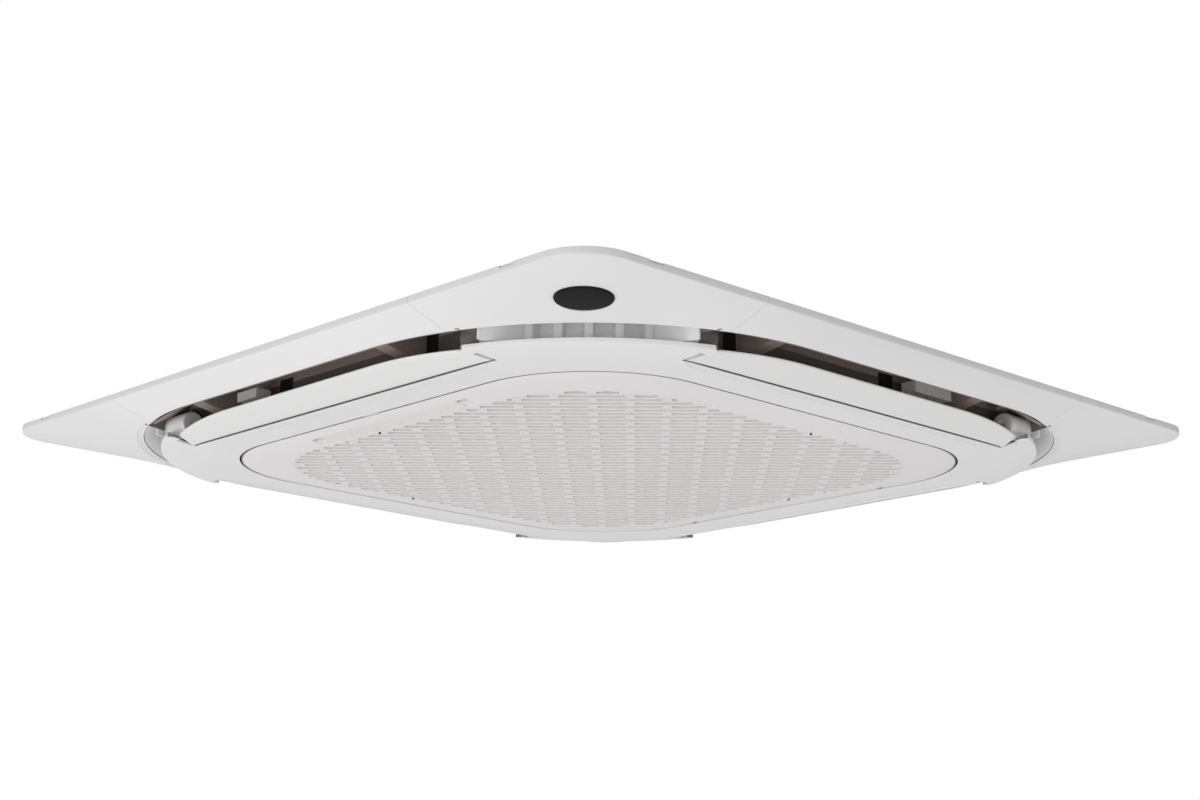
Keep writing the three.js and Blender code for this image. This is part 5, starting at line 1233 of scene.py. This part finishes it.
class CassetteSizes(bpy.types.PropertyGroup):
    """Sizes of the room-side panel."""

    panel_half: length("Panel half width", "Middle to rim", 0.475)
    opening_half: length("Opening half width", "Middle to the outlets' outer edge", 0.445)
    lip_half: length("Lip half width", "Middle to the bezel's lip", 0.425)
    vane_outer: length("Vane outer edge", "Middle to a vane's outer edge", 0.415)
    vane_inner: length("Vane inner edge", "Middle to a vane's inner edge", 0.371)
    strip_half: length("Strip half width", "Middle to the edge of the flat strip", 0.3698)
    grille_half: length("Grille half width", "Middle to the grille's edge", 0.3228)
    slot_zone_half: length("Slotted zone half width", "Middle to the end of the slots", 0.282)
    row_pitch: length("Row pitch", "From one row of slots to the next", 0.014)
    slot_height: length("Slot height", "Height of a slot", 0.009)
    bridge_pitch: length("Bridge pitch", "From one bridge to the next in a row", 0.074)
    bridge_width: length("Bridge width", "Width of the bridge between two slots", 0.0097)
    seam_position: length("Cover seam", "Middle of a side to a corner cover", 0.247)
    receiver_radius: length("Receiver radius", "Radius of the round window", 0.0266)


class CassetteColours(bpy.types.PropertyGroup):
    """Colours of the visible finishes."""

    panel_colour: colour("Panel", "Panel, covers and bezel", (0.83, 0.83, 0.828))
    vane_colour: colour("Vanes", "Vanes and their housings", (0.815, 0.815, 0.81))
    grille_colour: colour("Grille", "Slotted intake grille", (0.82, 0.8, 0.8))
    receiver_colour: colour("Receiver", "Round glossy window", (0.018, 0.018, 0.019))
    foam_colour: colour("Lining", "Foam in the outlets", (0.48, 0.385, 0.335))


class PieceStep:
    """Shared by the steps that build pieces from the scene's sizes."""

    def execute(self, context):
        self.build(context.scene.cassette_sizes)
        return {"FINISHED"}


class StageOperator(bpy.types.Operator):
    """Camera, ceiling, floor, world and lamps"""

    bl_idname = "cassette.stage"
    bl_label = "Build stage"

    def execute(self, context):
        build_camera()
        build_stage()
        return {"FINISHED"}


class FinishOperator(bpy.types.Operator):
    """All finishes, also on the nodes that keep their own shape"""

    bl_idname = "cassette.finishes"
    bl_label = "Make finishes"

    def execute(self, context):
        FINISHES.update(make_finishes(context.scene.cassette_colours))
        slots = {part["node"]: part["material_slot"] for part in frame["record"]["subparts"]}
        for name, node in frame["nodes"].items():
            for slot in node.material_slots:
                slot.material = FINISHES[slots[name]]
        return {"FINISHED"}


class FrameOperator(PieceStep, bpy.types.Operator):
    """Panel frame with its flange, outlets, ribs and hinge arms"""

    bl_idname = "cassette.panel_frame"
    bl_label = "Build panel frame"

    def build(self, sizes):
        settle(build_panel_frame(sizes), "unit", "panel_frame", "panel_white")


class CoverOperator(PieceStep, bpy.types.Operator):
    """Four corner covers and the receiver's window"""

    bl_idname = "cassette.corner_covers"
    bl_label = "Build corner covers"

    def build(self, sizes):
        for corner, name in enumerate(CORNERS):
            piece = build_corner_cover(sizes, corner)
            settle(piece, "unit", "corner_cover_" + name, "panel_white")
        settle(build_receiver(sizes), "unit", "receiver_window", "gloss_black")


class BezelOperator(PieceStep, bpy.types.Operator):
    """Centre bezel with its lip and vane bays"""

    bl_idname = "cassette.bezel"
    bl_label = "Build bezel"

    def build(self, sizes):
        settle(build_bezel(sizes), "unit", "centre_bezel", "panel_white", "seam_shade")


class VaneOperator(PieceStep, bpy.types.Operator):
    """Four vanes and their motor housings"""

    bl_idname = "cassette.vanes"
    bl_label = "Build vanes"

    def build(self, sizes):
        for side, name in enumerate(SIDES):
            vane = build_vane(sizes, side)
            settle(vane, "vane_" + name + "_body", "vane_" + name, "vane_white")
            settle(build_vane_motor(side), "unit", "vane_motor_" + name, "vane_white")


class LiningOperator(PieceStep, bpy.types.Operator):
    """Foam lining of the outlets"""

    bl_idname = "cassette.lining"
    bl_label = "Build outlet lining"

    def build(self, sizes):
        settle(build_outlet_insert(sizes), "unit", "outlet_insert", *LINING_FINISHES)


class GrilleOperator(PieceStep, bpy.types.Operator):
    """Intake grille with its slats"""

    bl_idname = "cassette.grille"
    bl_label = "Build intake grille"

    def build(self, sizes):
        settle(build_grille(sizes), "grille", "intake_grille", "grille_white", "seam_shade")


OPERATORS = (
    StageOperator, FinishOperator, FrameOperator, CoverOperator, BezelOperator, VaneOperator,
    LiningOperator, GrilleOperator,
)


class CassettePanel(bpy.types.Panel):
    """Sizes, colours and the steps of the build"""

    bl_idname = "VIEW3D_PT_cassette"
    bl_label = "Ceiling cassette"
    bl_space_type = "VIEW_3D"
    bl_region_type = "UI"
    bl_category = "Cassette"

    def draw(self, context):
        for group in (context.scene.cassette_sizes, context.scene.cassette_colours):
            for name in group.__annotations__:
                self.layout.prop(group, name)
        for operator in OPERATORS:
            self.layout.operator(operator.bl_idname)


CLASSES = (CassetteSizes, CassetteColours, *OPERATORS, CassettePanel)


def register():
    for item in CLASSES:
        bpy.utils.register_class(item)
    bpy.types.Scene.cassette_sizes = PointerProperty(type=CassetteSizes)
    bpy.types.Scene.cassette_colours = PointerProperty(type=CassetteColours)


def unregister():
    del bpy.types.Scene.cassette_colours
    del bpy.types.Scene.cassette_sizes
    for item in reversed(CLASSES):
        bpy.utils.unregister_class(item)


def main():
    register()
    for operator in OPERATORS:
        group, name = operator.bl_idname.split(".")
        getattr(getattr(bpy.ops, group), name)()


if __name__ == "__main__":
    main()
